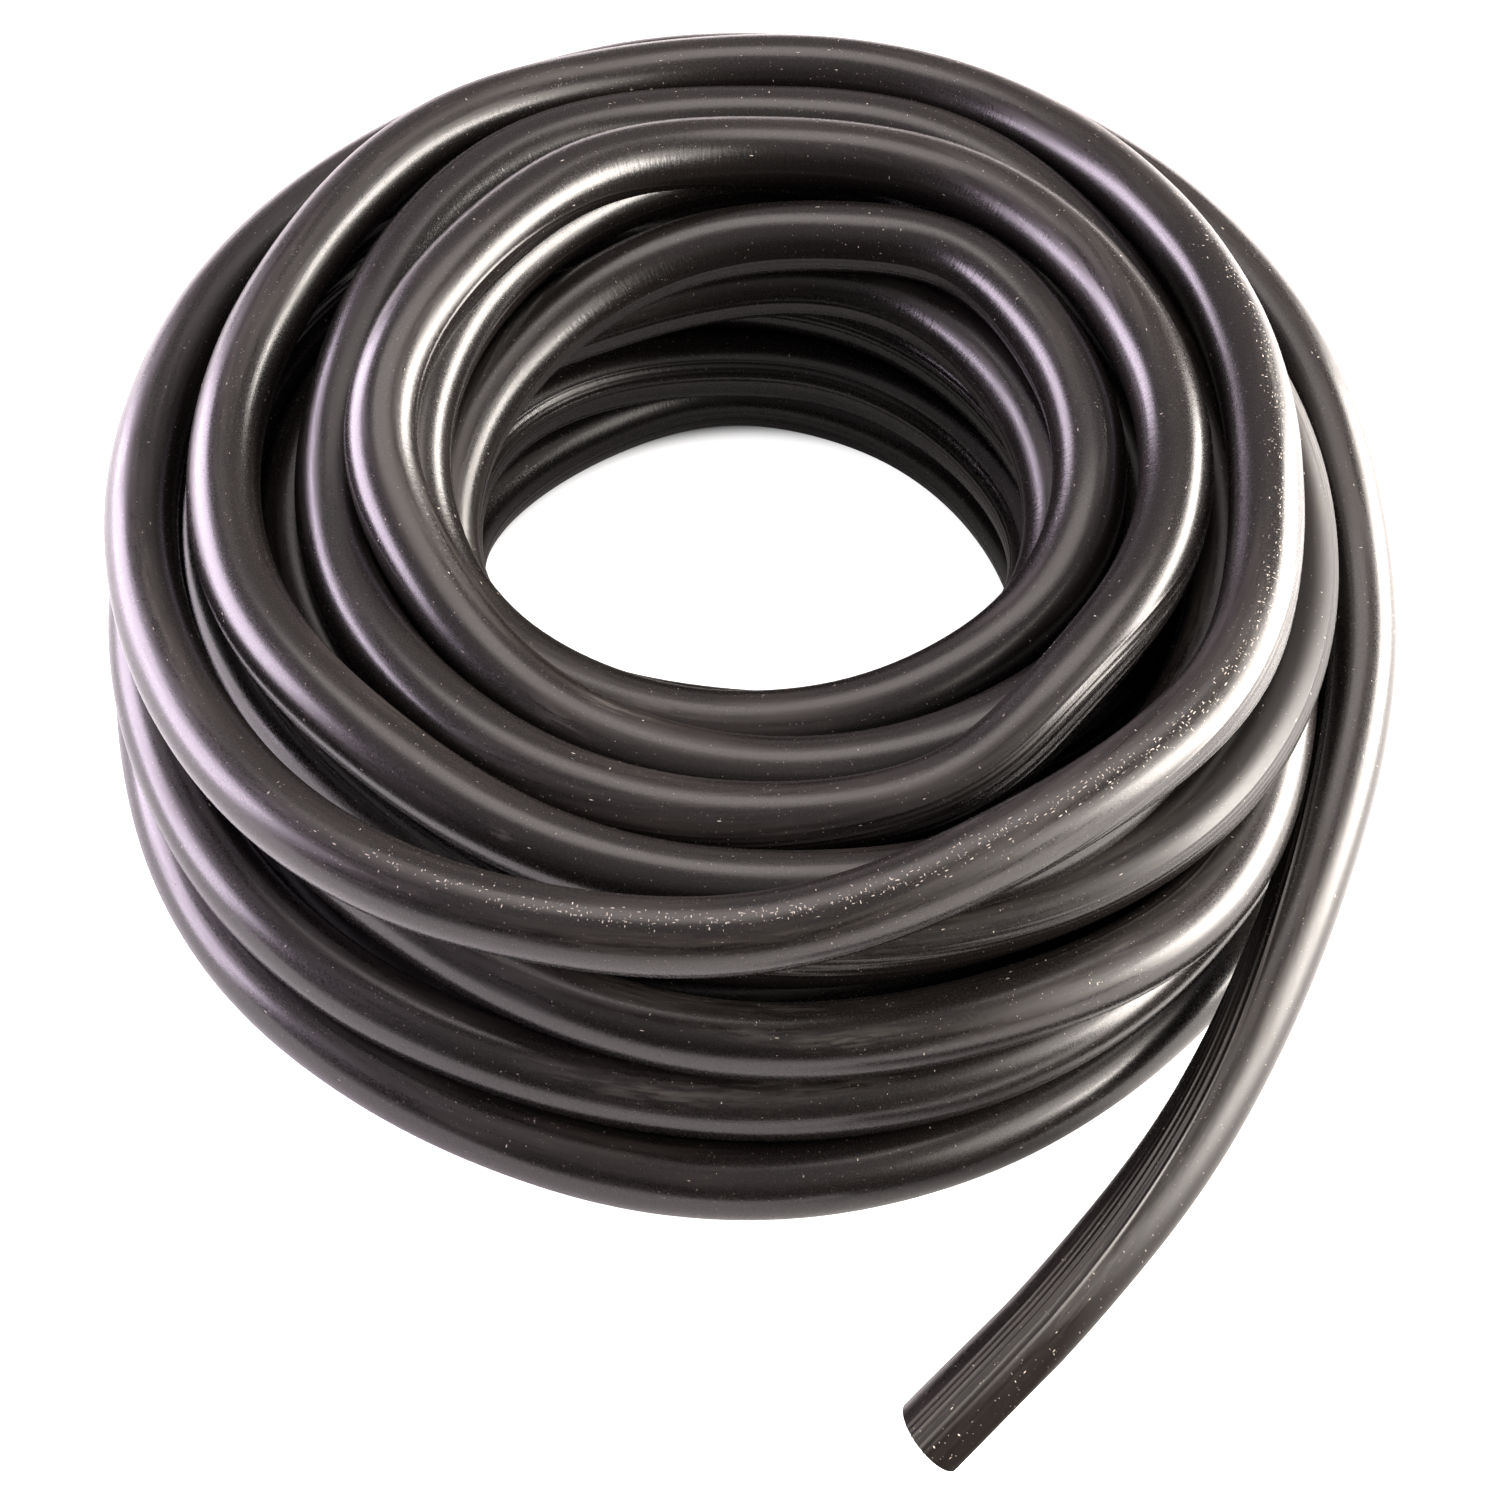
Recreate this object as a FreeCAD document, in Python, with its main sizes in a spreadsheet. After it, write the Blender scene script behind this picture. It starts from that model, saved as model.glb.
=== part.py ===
"""Soaker hose, one continuous length laid by hand into a five-layer coil.

Millimetres, with the floor at z = 0 and z up.  The hose is a round rubber tube that winds
clockwise seen from above, from its inner end in the bottom layer up to the top layer, and its
free tail runs down to the floor towards -y.  The centreline is a uniform cubic B-spline.  The
hose is divided into five coil layers, with short jointed lengths and a straight tip at each end.
"""
import math
import os
import FreeCAD
import Part

V = FreeCAD.Vector

# Centreline control points (x, y, z), from the inner end to the cut tip of the tail.
CONTROL_TABLE = [
    (-62.66, 8.54, 6.78), (-68.54, 19.65, 8.82), (-73.12, 30.40, 10.44), (-76.22, 40.79, 11.58),
    (-77.58, 50.86, 12.15), (-76.87, 60.66, 12.12), (-73.75, 70.29, 11.57), (-68.39, 79.88, 10.87),
    (-60.98, 89.26, 10.21), (-51.64, 98.06, 9.67), (-40.73, 105.93, 9.45), (-28.64, 112.36, 9.56),
    (-15.69, 116.60, 9.76), (-2.13, 117.97, 9.75), (11.81, 116.13, 9.43), (25.72, 111.35, 9.16),
    (38.98, 103.83, 9.08), (50.87, 93.57, 9.00), (60.84, 80.81, 8.84), (68.66, 66.25, 8.75),
    (73.85, 50.60, 8.80), (75.62, 34.24, 8.84), (73.95, 17.56, 8.83), (69.37, 1.09, 8.77),
    (62.41, -14.40, 8.74), (53.34, -28.06, 8.78), (42.25, -39.05, 8.79), (29.26, -46.75, 8.78),
    (14.62, -50.83, 8.79), (-1.25, -51.23, 8.79), (-17.74, -48.07, 8.78), (-34.13, -41.49, 8.79),
    (-49.69, -31.61, 8.79), (-63.77, -18.83, 8.79), (-75.88, -3.82, 8.79), (-85.56, 12.68, 8.79),
    (-92.31, 29.94, 8.78), (-95.53, 47.32, 8.77), (-94.62, 64.33, 8.78), (-89.36, 80.57, 8.79),
    (-80.08, 95.67, 8.79), (-67.42, 109.18, 8.78), (-52.15, 120.63, 8.76), (-35.06, 129.44, 8.77),
    (-16.80, 135.01, 8.80), (1.96, 136.95, 8.81), (20.55, 135.10, 8.80), (38.31, 129.53, 8.79),
    (54.61, 120.45, 8.78), (68.82, 108.16, 8.79), (80.32, 92.99, 8.79), (88.59, 75.36, 8.79),
    (93.28, 55.81, 8.79), (94.28, 35.02, 8.78), (91.73, 13.79, 8.77), (85.80, -6.98, 8.77),
    (76.59, -26.39, 8.78), (64.19, -43.61, 8.80), (48.92, -57.94, 8.81), (31.27, -68.82, 8.81),
    (11.85, -75.81, 8.80), (-8.60, -78.55, 8.79), (-29.27, -76.77, 8.78), (-49.32, -70.38, 8.79),
    (-67.91, -59.57, 8.79), (-84.30, -44.72, 8.79), (-97.87, -26.44, 8.78), (-108.09, -5.47, 8.79),
    (-114.48, 17.43, 8.79), (-116.68, 41.44, 8.77), (-114.56, 65.65, 8.78), (-108.17, 89.10, 8.80),
    (-97.61, 110.76, 8.80), (-83.10, 129.66, 8.77), (-65.03, 145.02, 8.77), (-44.04, 156.29, 8.80),
    (-20.96, 163.15, 8.81), (3.29, 165.38, 8.81), (27.75, 162.85, 8.79), (51.48, 155.52, 8.78),
    (73.54, 143.55, 8.78), (93.11, 127.30, 8.79), (109.43, 107.41, 8.78), (121.77, 84.61, 8.78),
    (129.49, 59.76, 8.78), (132.10, 33.80, 8.79), (129.34, 7.81, 8.78), (121.24, -17.12, 8.78),
    (108.12, -39.93, 8.77), (90.52, -59.68, 8.79), (69.19, -75.68, 8.81), (45.06, -87.44, 8.83),
    (19.14, -94.61, 8.84), (-7.50, -96.98, 8.84), (-33.77, -94.41, 8.84), (-58.64, -86.92, 8.83),
    (-81.13, -74.62, 8.82), (-100.39, -57.76, 8.80), (-115.71, -36.78, 8.78), (-126.62, -12.30, 8.78),
    (-132.95, 14.72, 8.79), (-134.74, 43.09, 8.79), (-131.89, 71.43, 8.79), (-124.13, 98.44, 8.79),
    (-111.49, 122.99, 8.79), (-94.30, 144.18, 8.79), (-73.16, 161.32, 8.78), (-48.81, 173.84, 8.78),
    (-22.07, 181.36, 8.78), (6.07, 183.64, 8.78), (34.59, 180.58, 8.79), (62.34, 172.20, 8.79),
    (88.19, 158.67, 8.79), (111.01, 140.38, 8.78), (129.73, 117.87, 8.78), (143.41, 91.89, 8.79),
    (151.25, 63.31, 8.78), (152.71, 33.13, 8.79), (147.63, 2.44, 8.80), (136.28, -27.65, 8.78),
    (119.44, -56.02, 8.77), (98.42, -81.62, 8.77), (74.45, -103.14, 8.75), (47.82, -118.64, 8.83),
    (19.17, -127.25, 8.84), (-10.43, -128.64, 8.75), (-40.02, -122.67, 8.83), (-68.60, -110.44, 9.00),
    (-94.97, -93.48, 9.00), (-117.36, -72.45, 8.82), (-133.98, -46.99, 8.74), (-144.93, -17.66, 8.81),
    (-151.09, 13.95, 9.06), (-152.63, 46.17, 9.66), (-148.98, 77.55, 10.72), (-139.91, 106.86, 12.30),
    (-125.54, 133.11, 14.31), (-106.27, 155.43, 16.55), (-82.74, 173.10, 18.78), (-55.80, 185.57, 20.77),
    (-26.54, 192.48, 22.42), (3.77, 193.67, 23.73), (33.83, 189.11, 24.77), (62.33, 178.98, 25.64),
    (88.04, 163.58, 26.35), (109.91, 143.50, 26.78), (127.08, 119.50, 26.79), (138.81, 92.48, 26.34),
    (144.59, 63.33, 25.60), (144.21, 32.96, 24.90), (137.96, 2.32, 24.59), (126.89, -27.58, 24.91),
    (112.40, -55.51, 25.69), (94.79, -79.68, 26.36), (73.39, -98.22, 26.38), (48.41, -110.64, 25.58),
    (20.71, -116.85, 24.55), (-8.64, -117.03, 23.99), (-38.31, -111.69, 24.20), (-66.84, -101.38, 24.87),
    (-92.72, -86.61, 25.43), (-114.27, -66.88, 26.06), (-131.08, -42.68, 26.89), (-143.24, -15.50, 27.72),
    (-150.49, 13.12, 28.35), (-151.94, 41.85, 28.62), (-147.07, 69.68, 28.54), (-136.17, 95.74, 28.24),
    (-119.95, 119.23, 27.80), (-99.38, 139.42, 27.25), (-75.48, 155.62, 26.59), (-49.33, 167.23, 25.85),
    (-22.00, 173.78, 25.15), (5.46, 174.98, 24.70), (32.03, 170.84, 24.64), (56.74, 161.66, 24.98),
    (78.69, 147.96, 25.57), (97.09, 130.38, 26.20), (111.30, 109.61, 26.67), (120.91, 86.45, 26.83),
    (125.82, 61.84, 26.61), (126.10, 36.73, 25.92), (121.88, 12.03, 24.91), (113.16, -11.40, 23.90),
    (100.00, -32.82, 23.27), (82.85, -51.61, 23.07), (62.38, -67.08, 23.24), (39.40, -78.54, 23.68),
    (14.84, -85.45, 24.23), (-10.27, -87.47, 24.64), (-34.89, -84.45, 24.72), (-58.01, -76.44, 24.42),
    (-78.70, -63.72, 23.94), (-96.15, -46.75, 23.57), (-109.78, -26.23, 23.56), (-119.28, -3.16, 23.91),
    (-124.60, 21.28, 24.52), (-125.72, 45.88, 25.29), (-122.53, 69.50, 26.12), (-114.92, 91.14, 26.83),
    (-102.86, 110.01, 27.20), (-86.61, 125.61, 27.03), (-66.89, 137.74, 26.20), (-44.73, 146.35, 24.77),
    (-21.19, 151.24, 23.11), (2.71, 152.15, 21.56), (25.95, 148.89, 20.35), (47.60, 141.46, 19.53),
    (66.83, 130.10, 19.00), (82.95, 115.26, 18.64), (95.45, 97.59, 18.43), (103.98, 77.88, 18.51),
    (108.32, 56.99, 19.08), (108.36, 35.79, 20.33), (104.18, 15.10, 22.30), (96.09, -4.35, 24.61),
    (84.44, -21.89, 26.41), (69.62, -36.97, 27.03), (52.26, -49.17, 26.43), (33.12, -58.12, 24.92),
    (13.00, -63.39, 22.82), (-7.32, -64.58, 20.40), (-27.10, -61.43, 18.05), (-45.72, -54.00, 16.37),
    (-62.61, -42.66, 15.97), (-77.30, -27.99, 16.96), (-89.36, -10.72, 18.85), (-98.40, 8.34, 20.91),
    (-104.03, 28.32, 22.57), (-105.99, 48.31, 23.55), (-104.04, 67.38, 23.93), (-98.02, 84.72, 24.10),
    (-88.04, 99.71, 24.60), (-74.56, 112.00, 25.54), (-58.13, 121.30, 26.49), (-39.43, 127.49, 26.89),
    (-19.34, 130.62, 26.59), (1.13, 130.65, 25.93), (21.01, 127.31, 25.32), (39.45, 120.39, 25.04),
    (55.75, 110.09, 25.16), (69.40, 96.97, 25.58), (80.00, 81.88, 26.11), (87.24, 65.72, 26.52),
    (90.86, 49.40, 26.65), (90.67, 33.67, 26.49), (86.67, 19.10, 26.26), (79.21, 6.00, 26.36),
    (69.16, -5.63, 26.82), (57.56, -15.80, 26.75), (45.08, -24.22, 24.99), (31.99, -30.38, 21.58),
    (18.32, -33.76, 17.47), (4.13, -34.15, 13.95), (-10.35, -31.64, 12.17), (-24.73, -26.44, 12.72),
    (-38.46, -18.82, 15.35), (-50.88, -8.93, 19.21), (-61.35, 3.02, 23.30), (-69.38, 16.65, 26.77),
    (-74.66, 31.38, 29.06), (-77.06, 46.50, 30.13), (-76.45, 61.22, 30.26), (-72.70, 74.82, 29.82),
    (-65.89, 86.75, 29.19), (-56.23, 96.56, 28.57), (-44.24, 104.07, 28.07), (-30.47, 109.08, 27.56),
    (-15.60, 111.68, 27.11), (-0.40, 112.14, 26.95), (14.38, 110.28, 27.02), (28.14, 105.57, 26.95),
    (40.54, 98.15, 26.84), (51.35, 88.52, 26.78), (60.33, 77.35, 26.77), (67.19, 65.33, 26.77),
    (71.58, 53.09, 26.77), (73.06, 41.04, 26.85), (71.24, 29.46, 27.25), (65.91, 18.42, 28.13),
    (57.37, 7.85, 29.34), (46.18, -2.28, 30.52), (33.06, -11.79, 31.30), (18.71, -20.26, 31.45),
    (3.72, -27.02, 31.07), (-11.52, -31.19, 30.54), (-26.66, -32.08, 30.18), (-41.36, -29.43, 30.06),
    (-55.18, -23.30, 30.34), (-67.62, -13.93, 31.13), (-78.12, -1.66, 32.43), (-86.20, 13.00, 34.09),
    (-91.54, 29.32, 35.70), (-93.86, 46.44, 36.89), (-92.86, 63.40, 37.62), (-88.22, 79.22, 38.30),
    (-79.92, 93.06, 39.36), (-68.24, 104.30, 40.69), (-53.80, 112.70, 41.81), (-37.46, 118.33, 42.42),
    (-20.16, 121.19, 42.74), (-2.73, 121.14, 43.08), (14.08, 118.00, 43.51), (29.69, 111.72, 43.91),
    (43.68, 102.47, 44.17), (55.73, 90.60, 44.32), (65.56, 76.61, 44.41), (73.02, 61.08, 44.49),
    (78.05, 44.73, 44.62), (80.56, 28.31, 44.80), (80.39, 12.51, 44.84), (77.25, -2.12, 44.42),
    (70.75, -15.18, 43.21), (60.80, -26.46, 41.19), (47.62, -35.84, 38.66), (31.70, -43.22, 36.12),
    (13.72, -48.41, 34.10), (-5.54, -51.08, 32.95), (-25.19, -50.81, 32.75), (-44.38, -47.19, 33.22),
    (-62.25, -39.81, 34.03), (-78.09, -28.50, 35.14), (-91.35, -13.51, 36.63), (-101.68, 4.42, 38.26),
    (-108.67, 24.29, 39.61), (-111.84, 45.02, 40.46), (-110.72, 65.60, 41.00), (-105.15, 85.05, 41.57),
    (-95.20, 102.54, 42.09), (-81.16, 117.44, 42.29), (-63.72, 129.38, 41.93), (-43.71, 138.03, 40.96),
    (-22.07, 143.09, 39.52), (0.25, 144.28, 37.97), (22.28, 141.56, 36.66), (43.12, 134.95, 35.80),
    (62.00, 124.53, 35.47), (78.34, 110.56, 35.64), (91.71, 93.55, 36.17), (101.84, 74.22, 36.91),
    (108.48, 53.40, 37.75), (111.37, 31.96, 38.60), (110.21, 10.76, 39.34), (104.68, -9.41, 39.84),
    (94.81, -27.86, 40.06), (80.87, -43.96, 39.99), (63.36, -57.17, 39.64), (42.92, -66.96, 39.08),
    (20.34, -72.95, 38.44), (-3.45, -74.89, 37.94), (-27.47, -72.62, 37.77), (-50.69, -66.09, 38.04),
    (-72.15, -55.36, 38.76), (-91.00, -40.65, 39.85), (-106.60, -22.40, 41.06), (-118.52, -1.32, 42.00),
    (-126.41, 21.64, 42.57), (-129.83, 45.46, 42.92), (-128.41, 69.12, 43.26), (-121.96, 91.65, 43.60),
    (-110.52, 112.14, 43.70), (-94.51, 129.83, 43.23), (-74.58, 144.08, 42.01), (-51.65, 154.43, 40.25),
    (-26.75, 160.62, 38.56), (-0.98, 162.44, 37.54), (24.66, 159.60, 37.49), (49.18, 151.98, 38.39),
    (71.68, 139.69, 40.00), (91.33, 123.07, 41.89), (107.38, 102.56, 43.54), (119.17, 78.71, 44.49),
    (126.27, 52.18, 44.69), (128.73, 23.88, 44.45), (127.31, -4.91, 44.03), (122.84, -32.56, 43.58),
    (115.10, -57.25, 43.37), (102.53, -77.39, 43.72), (84.14, -92.46, 44.39), (60.97, -103.49, 44.38),
    (34.80, -110.76, 43.33), (7.20, -113.26, 41.76), (-20.77, -109.11, 40.78), (-48.45, -98.13, 40.70),
    (-75.00, -81.45, 41.30), (-99.23, -60.23, 42.42), (-119.75, -35.49, 43.78), (-135.23, -8.18, 45.10),
    (-144.74, 20.71, 46.11), (-147.93, 50.00, 46.63), (-144.84, 78.47, 46.58), (-135.69, 104.89, 45.98),
    (-120.93, 128.21, 45.08), (-101.38, 147.64, 44.24), (-78.17, 162.62, 43.93), (-52.46, 172.68, 44.53),
    (-25.39, 177.42, 46.15), (1.97, 176.70, 48.56), (28.60, 170.71, 51.38), (53.52, 159.80, 54.28),
    (75.90, 144.39, 57.04), (95.02, 124.97, 59.52), (110.37, 102.17, 61.60), (121.68, 76.84, 63.23),
    (128.72, 50.00, 64.32), (131.35, 22.76, 64.71), (129.43, -3.69, 64.21), (122.90, -28.13, 62.76),
    (111.57, -49.39, 60.38), (95.26, -66.52, 57.45), (74.12, -79.15, 54.68), (49.46, -87.95, 52.38),
    (23.04, -93.22, 50.75), (-3.86, -93.87, 50.52), (-30.22, -89.27, 51.81), (-55.17, -79.63, 54.02),
    (-77.85, -65.64, 56.39), (-97.33, -48.00, 58.34), (-112.68, -27.45, 59.67), (-123.28, -4.79, 60.44),
    (-128.86, 19.08, 60.82), (-129.36, 43.19, 60.96), (-124.94, 66.64, 60.88), (-115.88, 88.58, 60.49),
    (-102.64, 108.28, 59.79), (-85.87, 125.07, 58.78), (-66.31, 138.42, 57.49), (-44.78, 147.90, 56.01),
    (-22.11, 153.23, 54.59), (0.84, 154.25, 53.65), (23.28, 150.87, 53.37), (44.48, 143.09, 53.55),
    (63.77, 131.08, 53.90), (80.58, 115.17, 54.26), (94.48, 95.98, 54.66), (105.06, 74.32, 55.18),
    (112.00, 51.17, 55.83), (115.05, 27.66, 56.46), (113.83, 4.90, 56.86), (107.89, -16.12, 57.04),
    (97.12, -34.57, 57.18), (81.90, -49.82, 57.31), (62.96, -61.41, 57.29), (41.29, -69.10, 57.00),
    (17.99, -72.80, 56.41), (-5.79, -72.49, 55.76), (-29.01, -68.23, 55.36), (-50.67, -60.14, 55.34),
    (-69.92, -48.45, 55.56), (-86.06, -33.62, 55.82), (-98.58, -16.29, 56.14), (-107.07, 2.81, 56.80),
    (-111.31, 22.90, 57.73), (-111.32, 43.19, 58.47), (-107.27, 62.87, 58.63), (-99.38, 81.19, 58.31),
    (-87.98, 97.52, 57.94), (-73.55, 111.34, 57.62), (-56.72, 122.32, 57.16), (-38.20, 130.15, 56.35),
    (-18.74, 134.61, 55.18), (0.92, 135.50, 53.83), (20.05, 132.73, 52.37), (38.04, 126.23, 50.89),
    (54.36, 116.10, 49.60), (68.59, 102.65, 48.70), (80.37, 86.38, 48.33), (89.35, 67.97, 48.55),
    (95.26, 48.28, 49.35), (97.83, 28.24, 50.63), (96.72, 8.86, 52.09), (91.62, -8.96, 53.26),
    (82.45, -24.46, 53.62), (69.46, -37.11, 53.13), (53.27, -46.63, 52.17), (34.69, -52.85, 51.25),
    (14.64, -55.65, 50.77), (-5.93, -54.98, 50.74), (-26.06, -50.86, 50.93), (-44.81, -43.41, 51.07),
    (-61.32, -32.89, 51.13), (-74.88, -19.71, 51.30), (-84.95, -4.48, 51.81), (-91.30, 12.03, 52.75),
    (-93.95, 28.94, 53.93), (-93.12, 45.36, 54.94), (-89.08, 60.47, 55.26), (-82.03, 73.63, 54.65),
    (-72.21, 84.47, 53.37), (-59.94, 93.08, 52.33), (-45.95, 99.99, 52.45), (-30.96, 105.44, 53.91),
    (-15.44, 109.02, 55.99), (0.12, 110.29, 58.04), (15.12, 109.01, 59.76), (29.02, 104.94, 60.98),
    (41.41, 97.94, 61.64), (52.04, 88.13, 61.87), (60.75, 75.93, 61.90), (67.42, 61.99, 61.92),
    (71.90, 47.13, 61.97), (74.02, 32.21, 61.96), (73.54, 17.98, 61.59), (70.31, 5.07, 60.56),
    (64.31, -6.09, 58.66), (55.82, -15.31, 56.19), (45.18, -22.43, 53.82), (32.76, -27.22, 51.98),
    (18.97, -29.53, 50.70), (4.32, -29.39, 49.65), (-10.59, -27.01, 48.34), (-25.14, -22.78, 46.54),
    (-38.76, -16.91, 44.81), (-50.92, -9.60, 43.81), (-61.11, -0.99, 43.85), (-68.91, 8.75, 44.91),
    (-73.94, 19.51, 46.93), (-75.94, 31.22, 49.86), (-74.93, 43.67, 53.56), (-71.06, 56.54, 57.68),
    (-64.42, 69.28, 61.78), (-55.08, 81.21, 65.54), (-43.42, 91.54, 69.03), (-29.82, 99.54, 72.17),
    (-14.88, 104.82, 74.85), (0.79, 107.11, 76.76), (16.53, 106.64, 77.95), (31.45, 104.30, 79.22),
    (44.61, 100.00, 80.59), (55.42, 92.59, 81.22), (64.08, 81.73, 81.07), (71.24, 68.20, 80.84),
    (76.84, 53.01, 80.92), (79.94, 36.90, 80.88), (79.99, 20.66, 80.18), (76.89, 5.19, 78.52),
    (70.45, -8.69, 76.05), (60.76, -20.34, 73.22), (48.24, -29.51, 70.38), (33.87, -36.23, 67.70),
    (18.34, -40.07, 65.43), (2.25, -40.82, 63.52), (-13.80, -38.59, 61.85), (-29.21, -33.48, 60.58),
    (-43.51, -25.92, 59.80), (-56.21, -16.31, 59.80), (-66.75, -4.87, 60.88), (-74.74, 8.21, 63.14),
    (-80.01, 22.53, 66.30), (-82.06, 37.81, 69.97), (-80.55, 53.83, 73.52), (-75.60, 70.28, 76.21),
    (-67.74, 86.66, 77.40), (-57.19, 102.18, 76.98), (-44.50, 116.06, 75.72), (-30.07, 127.29, 74.27),
    (-14.36, 135.01, 72.95), (2.07, 138.57, 71.64), (18.59, 137.54, 70.32), (34.59, 131.76, 69.11),
    (49.47, 121.38, 68.05), (62.78, 106.94, 67.05), (74.17, 89.32, 66.30), (83.36, 69.59, 66.15),
    (90.03, 48.91, 66.82), (93.77, 28.40, 68.24), (93.97, 8.99, 69.96), (89.97, -8.63, 71.26),
    (81.55, -24.07, 71.66), (69.04, -37.06, 71.20), (53.27, -47.45, 70.26), (35.33, -54.83, 69.20),
    (16.00, -58.30, 68.61), (-3.69, -57.77, 68.55), (-22.64, -53.36, 69.03), (-39.94, -45.44, 70.06),
    (-54.76, -34.69, 71.76), (-66.49, -21.31, 74.79), (-75.94, -6.49, 78.91), (-83.64, 8.50, 82.98),
    (-88.05, 23.60, 86.53), (-87.94, 39.11, 89.71), (-83.77, 55.00, 92.51), (-75.82, 70.89, 94.41),
    (-65.24, 86.52, 95.25), (-53.35, 101.21, 95.08), (-40.21, 113.42, 93.63), (-25.18, 121.77, 90.78),
    (-8.39, 126.60, 87.93), (9.53, 128.29, 86.24), (27.73, 126.62, 85.82), (45.27, 121.19, 86.21),
    (61.23, 111.36, 86.60), (75.05, 97.16, 86.82), (86.39, 79.44, 87.19), (94.59, 59.23, 87.72),
    (99.06, 37.71, 88.23), (99.44, 16.19, 88.69), (95.69, -4.11, 89.17), (87.95, -22.26, 89.36),
    (77.33, -38.00, 88.49), (66.03, -51.76, 85.64), (54.68, -63.18, 81.32), (41.24, -70.69, 77.58),
    (24.45, -74.36, 75.34), (4.95, -75.50, 73.98), (-15.86, -73.65, 73.33), (-36.54, -67.59, 73.41),
    (-55.87, -57.01, 73.75), (-72.81, -42.38, 73.67), (-86.29, -24.25, 73.02), (-95.72, -3.41, 72.30),
    (-100.66, 19.28, 72.34), (-101.16, 43.00, 73.38), (-97.82, 66.81, 74.94), (-91.25, 89.64, 76.29),
    (-81.80, 110.35, 76.97), (-69.59, 127.84, 76.84), (-54.67, 141.27, 75.89), (-37.25, 150.26, 74.22),
    (-17.84, 155.11, 72.37), (2.60, 156.67, 71.38), (22.92, 155.13, 71.74), (42.07, 149.56, 72.75),
    (59.35, 138.78, 73.27), (74.66, 122.65, 73.05), (88.05, 102.00, 72.63), (99.18, 77.96, 72.60),
    (107.28, 51.84, 73.20), (111.41, 24.94, 74.16), (110.96, -1.40, 75.00), (105.89, -25.95, 75.11),
    (96.35, -47.66, 74.29), (82.68, -65.67, 72.95), (65.39, -79.39, 71.72), (44.93, -88.30, 71.45),
    (21.92, -92.66, 72.27), (-2.33, -93.48, 73.03), (-26.37, -90.28, 73.61), (-49.13, -81.86, 74.82),
    (-70.26, -68.49, 76.57), (-89.66, -51.73, 78.00), (-106.48, -32.78, 78.49), (-118.73, -11.45, 78.45),
    (-125.10, 12.65, 78.49), (-126.41, 38.79, 78.72), (-122.57, 65.76, 78.75), (-114.06, 92.43, 78.63),
    (-102.29, 117.51, 78.51), (-87.58, 139.24, 77.84), (-69.00, 155.90, 75.71), (-46.56, 167.47, 72.96),
    (-21.63, 174.83, 71.40), (4.25, 177.59, 71.30), (29.67, 174.59, 71.93), (53.45, 165.09, 72.81),
    (74.66, 149.60, 74.48), (92.25, 128.88, 77.12), (105.59, 103.89, 80.48), (114.65, 76.19, 84.29),
    (119.45, 47.37, 87.94), (119.89, 18.73, 90.40), (117.53, -8.41, 91.40), (112.92, -32.54, 91.63),
    (103.86, -52.55, 91.68), (89.28, -68.83, 91.41), (70.69, -83.12, 90.02), (49.46, -95.63, 87.59),
    (26.67, -105.69, 84.46), (2.80, -111.65, 81.68), (-22.38, -111.76, 80.39), (-48.50, -106.84, 79.46),
    (-74.19, -97.40, 77.81), (-97.54, -82.15, 75.92), (-117.31, -60.77, 74.23), (-132.71, -34.25, 72.76),
    (-143.08, -4.18, 71.32), (-147.16, 28.00, 69.85), (-144.67, 60.76, 68.42), (-136.04, 92.40, 67.00),
    (-121.07, 121.23, 65.25), (-100.51, 146.27, 63.50), (-75.86, 166.82, 62.21), (-48.40, 181.84, 61.20),
    (-19.30, 190.47, 60.14), (10.29, 192.32, 58.94), (39.23, 187.49, 57.68), (66.41, 176.45, 56.50),
    (90.80, 159.93, 55.47), (111.51, 138.83, 54.53), (127.86, 114.16, 53.57), (139.32, 86.97, 52.30),
    (145.43, 57.93, 50.00), (147.62, 28.16, 46.78), (146.54, -1.03, 42.87), (140.76, -28.79, 37.89),
    (131.86, -55.09, 31.69), (121.37, -79.71, 24.79), (110.01, -102.39, 18.33), (97.31, -122.74, 13.47),
    (83.33, -141.21, 10.57), (68.87, -158.76, 9.30), (53.79, -175.71, 8.80), (38.15, -192.19, 8.74),
    (22.31, -208.52, 8.84),
]
CONTROL = [V(*row) for row in CONTROL_TABLE]

doc = FreeCAD.newDocument("soaker_hose")

# ---------------------------------------------------------------- dimensions
DIMENSIONS = [
    ("hose_outer_radius", 8.75, "outside radius of the hose"),
    ("hose_bore_radius", 6.25, "bore radius, nominal half-inch hose"),
    ("tail_length_pitch", 30.0, "centre distance of two tail joints"),
    ("tail_length_count", 12, "jointed lengths in the free tail"),
    ("inner_length_pitch", 30.0, "centre distance of two inner-end joints"),
    ("inner_length_count", 2, "jointed lengths at the inner end"),
    ("inner_tip_length", 22.0, "straight cut length at the inner end"),
    ("inner_tip_gap", 3.2, "relief behind the straight inner length"),
    ("joint_gap", 1.3, "relief between two jointed lengths"),
    ("layer_gap", 0.1, "relief between two coil layers"),
    ("edge_break", 0.2, "width of the broken edge at the straight lengths' bore rims"),
    ("tip_length", 34.0, "straight last length, to the middle of the cut"),
    ("tip_cut_angle", 36.0,
     "slant of the tail's cut towards its upper side, degrees from square"),
    ("tip_cut_skew", 20.0, "slant of the same cut towards its outer side, degrees"),
    ("layer1_end", 3336.0, "path length at the end of the bottom layer"),
    ("layer2_end", 6200.0, "path length at the end of layer 2"),
    ("layer3_end", 8600.0, "path length at the end of layer 3"),
    ("layer4_end", 11120.0, "path length at the end of layer 4"),
]
sheet = doc.addObject("Spreadsheet::Sheet", "Dimensions")
for column, heading in zip("ABC", ("name", "value", "what it is")):
    sheet.set(column + "1", heading)
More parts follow.
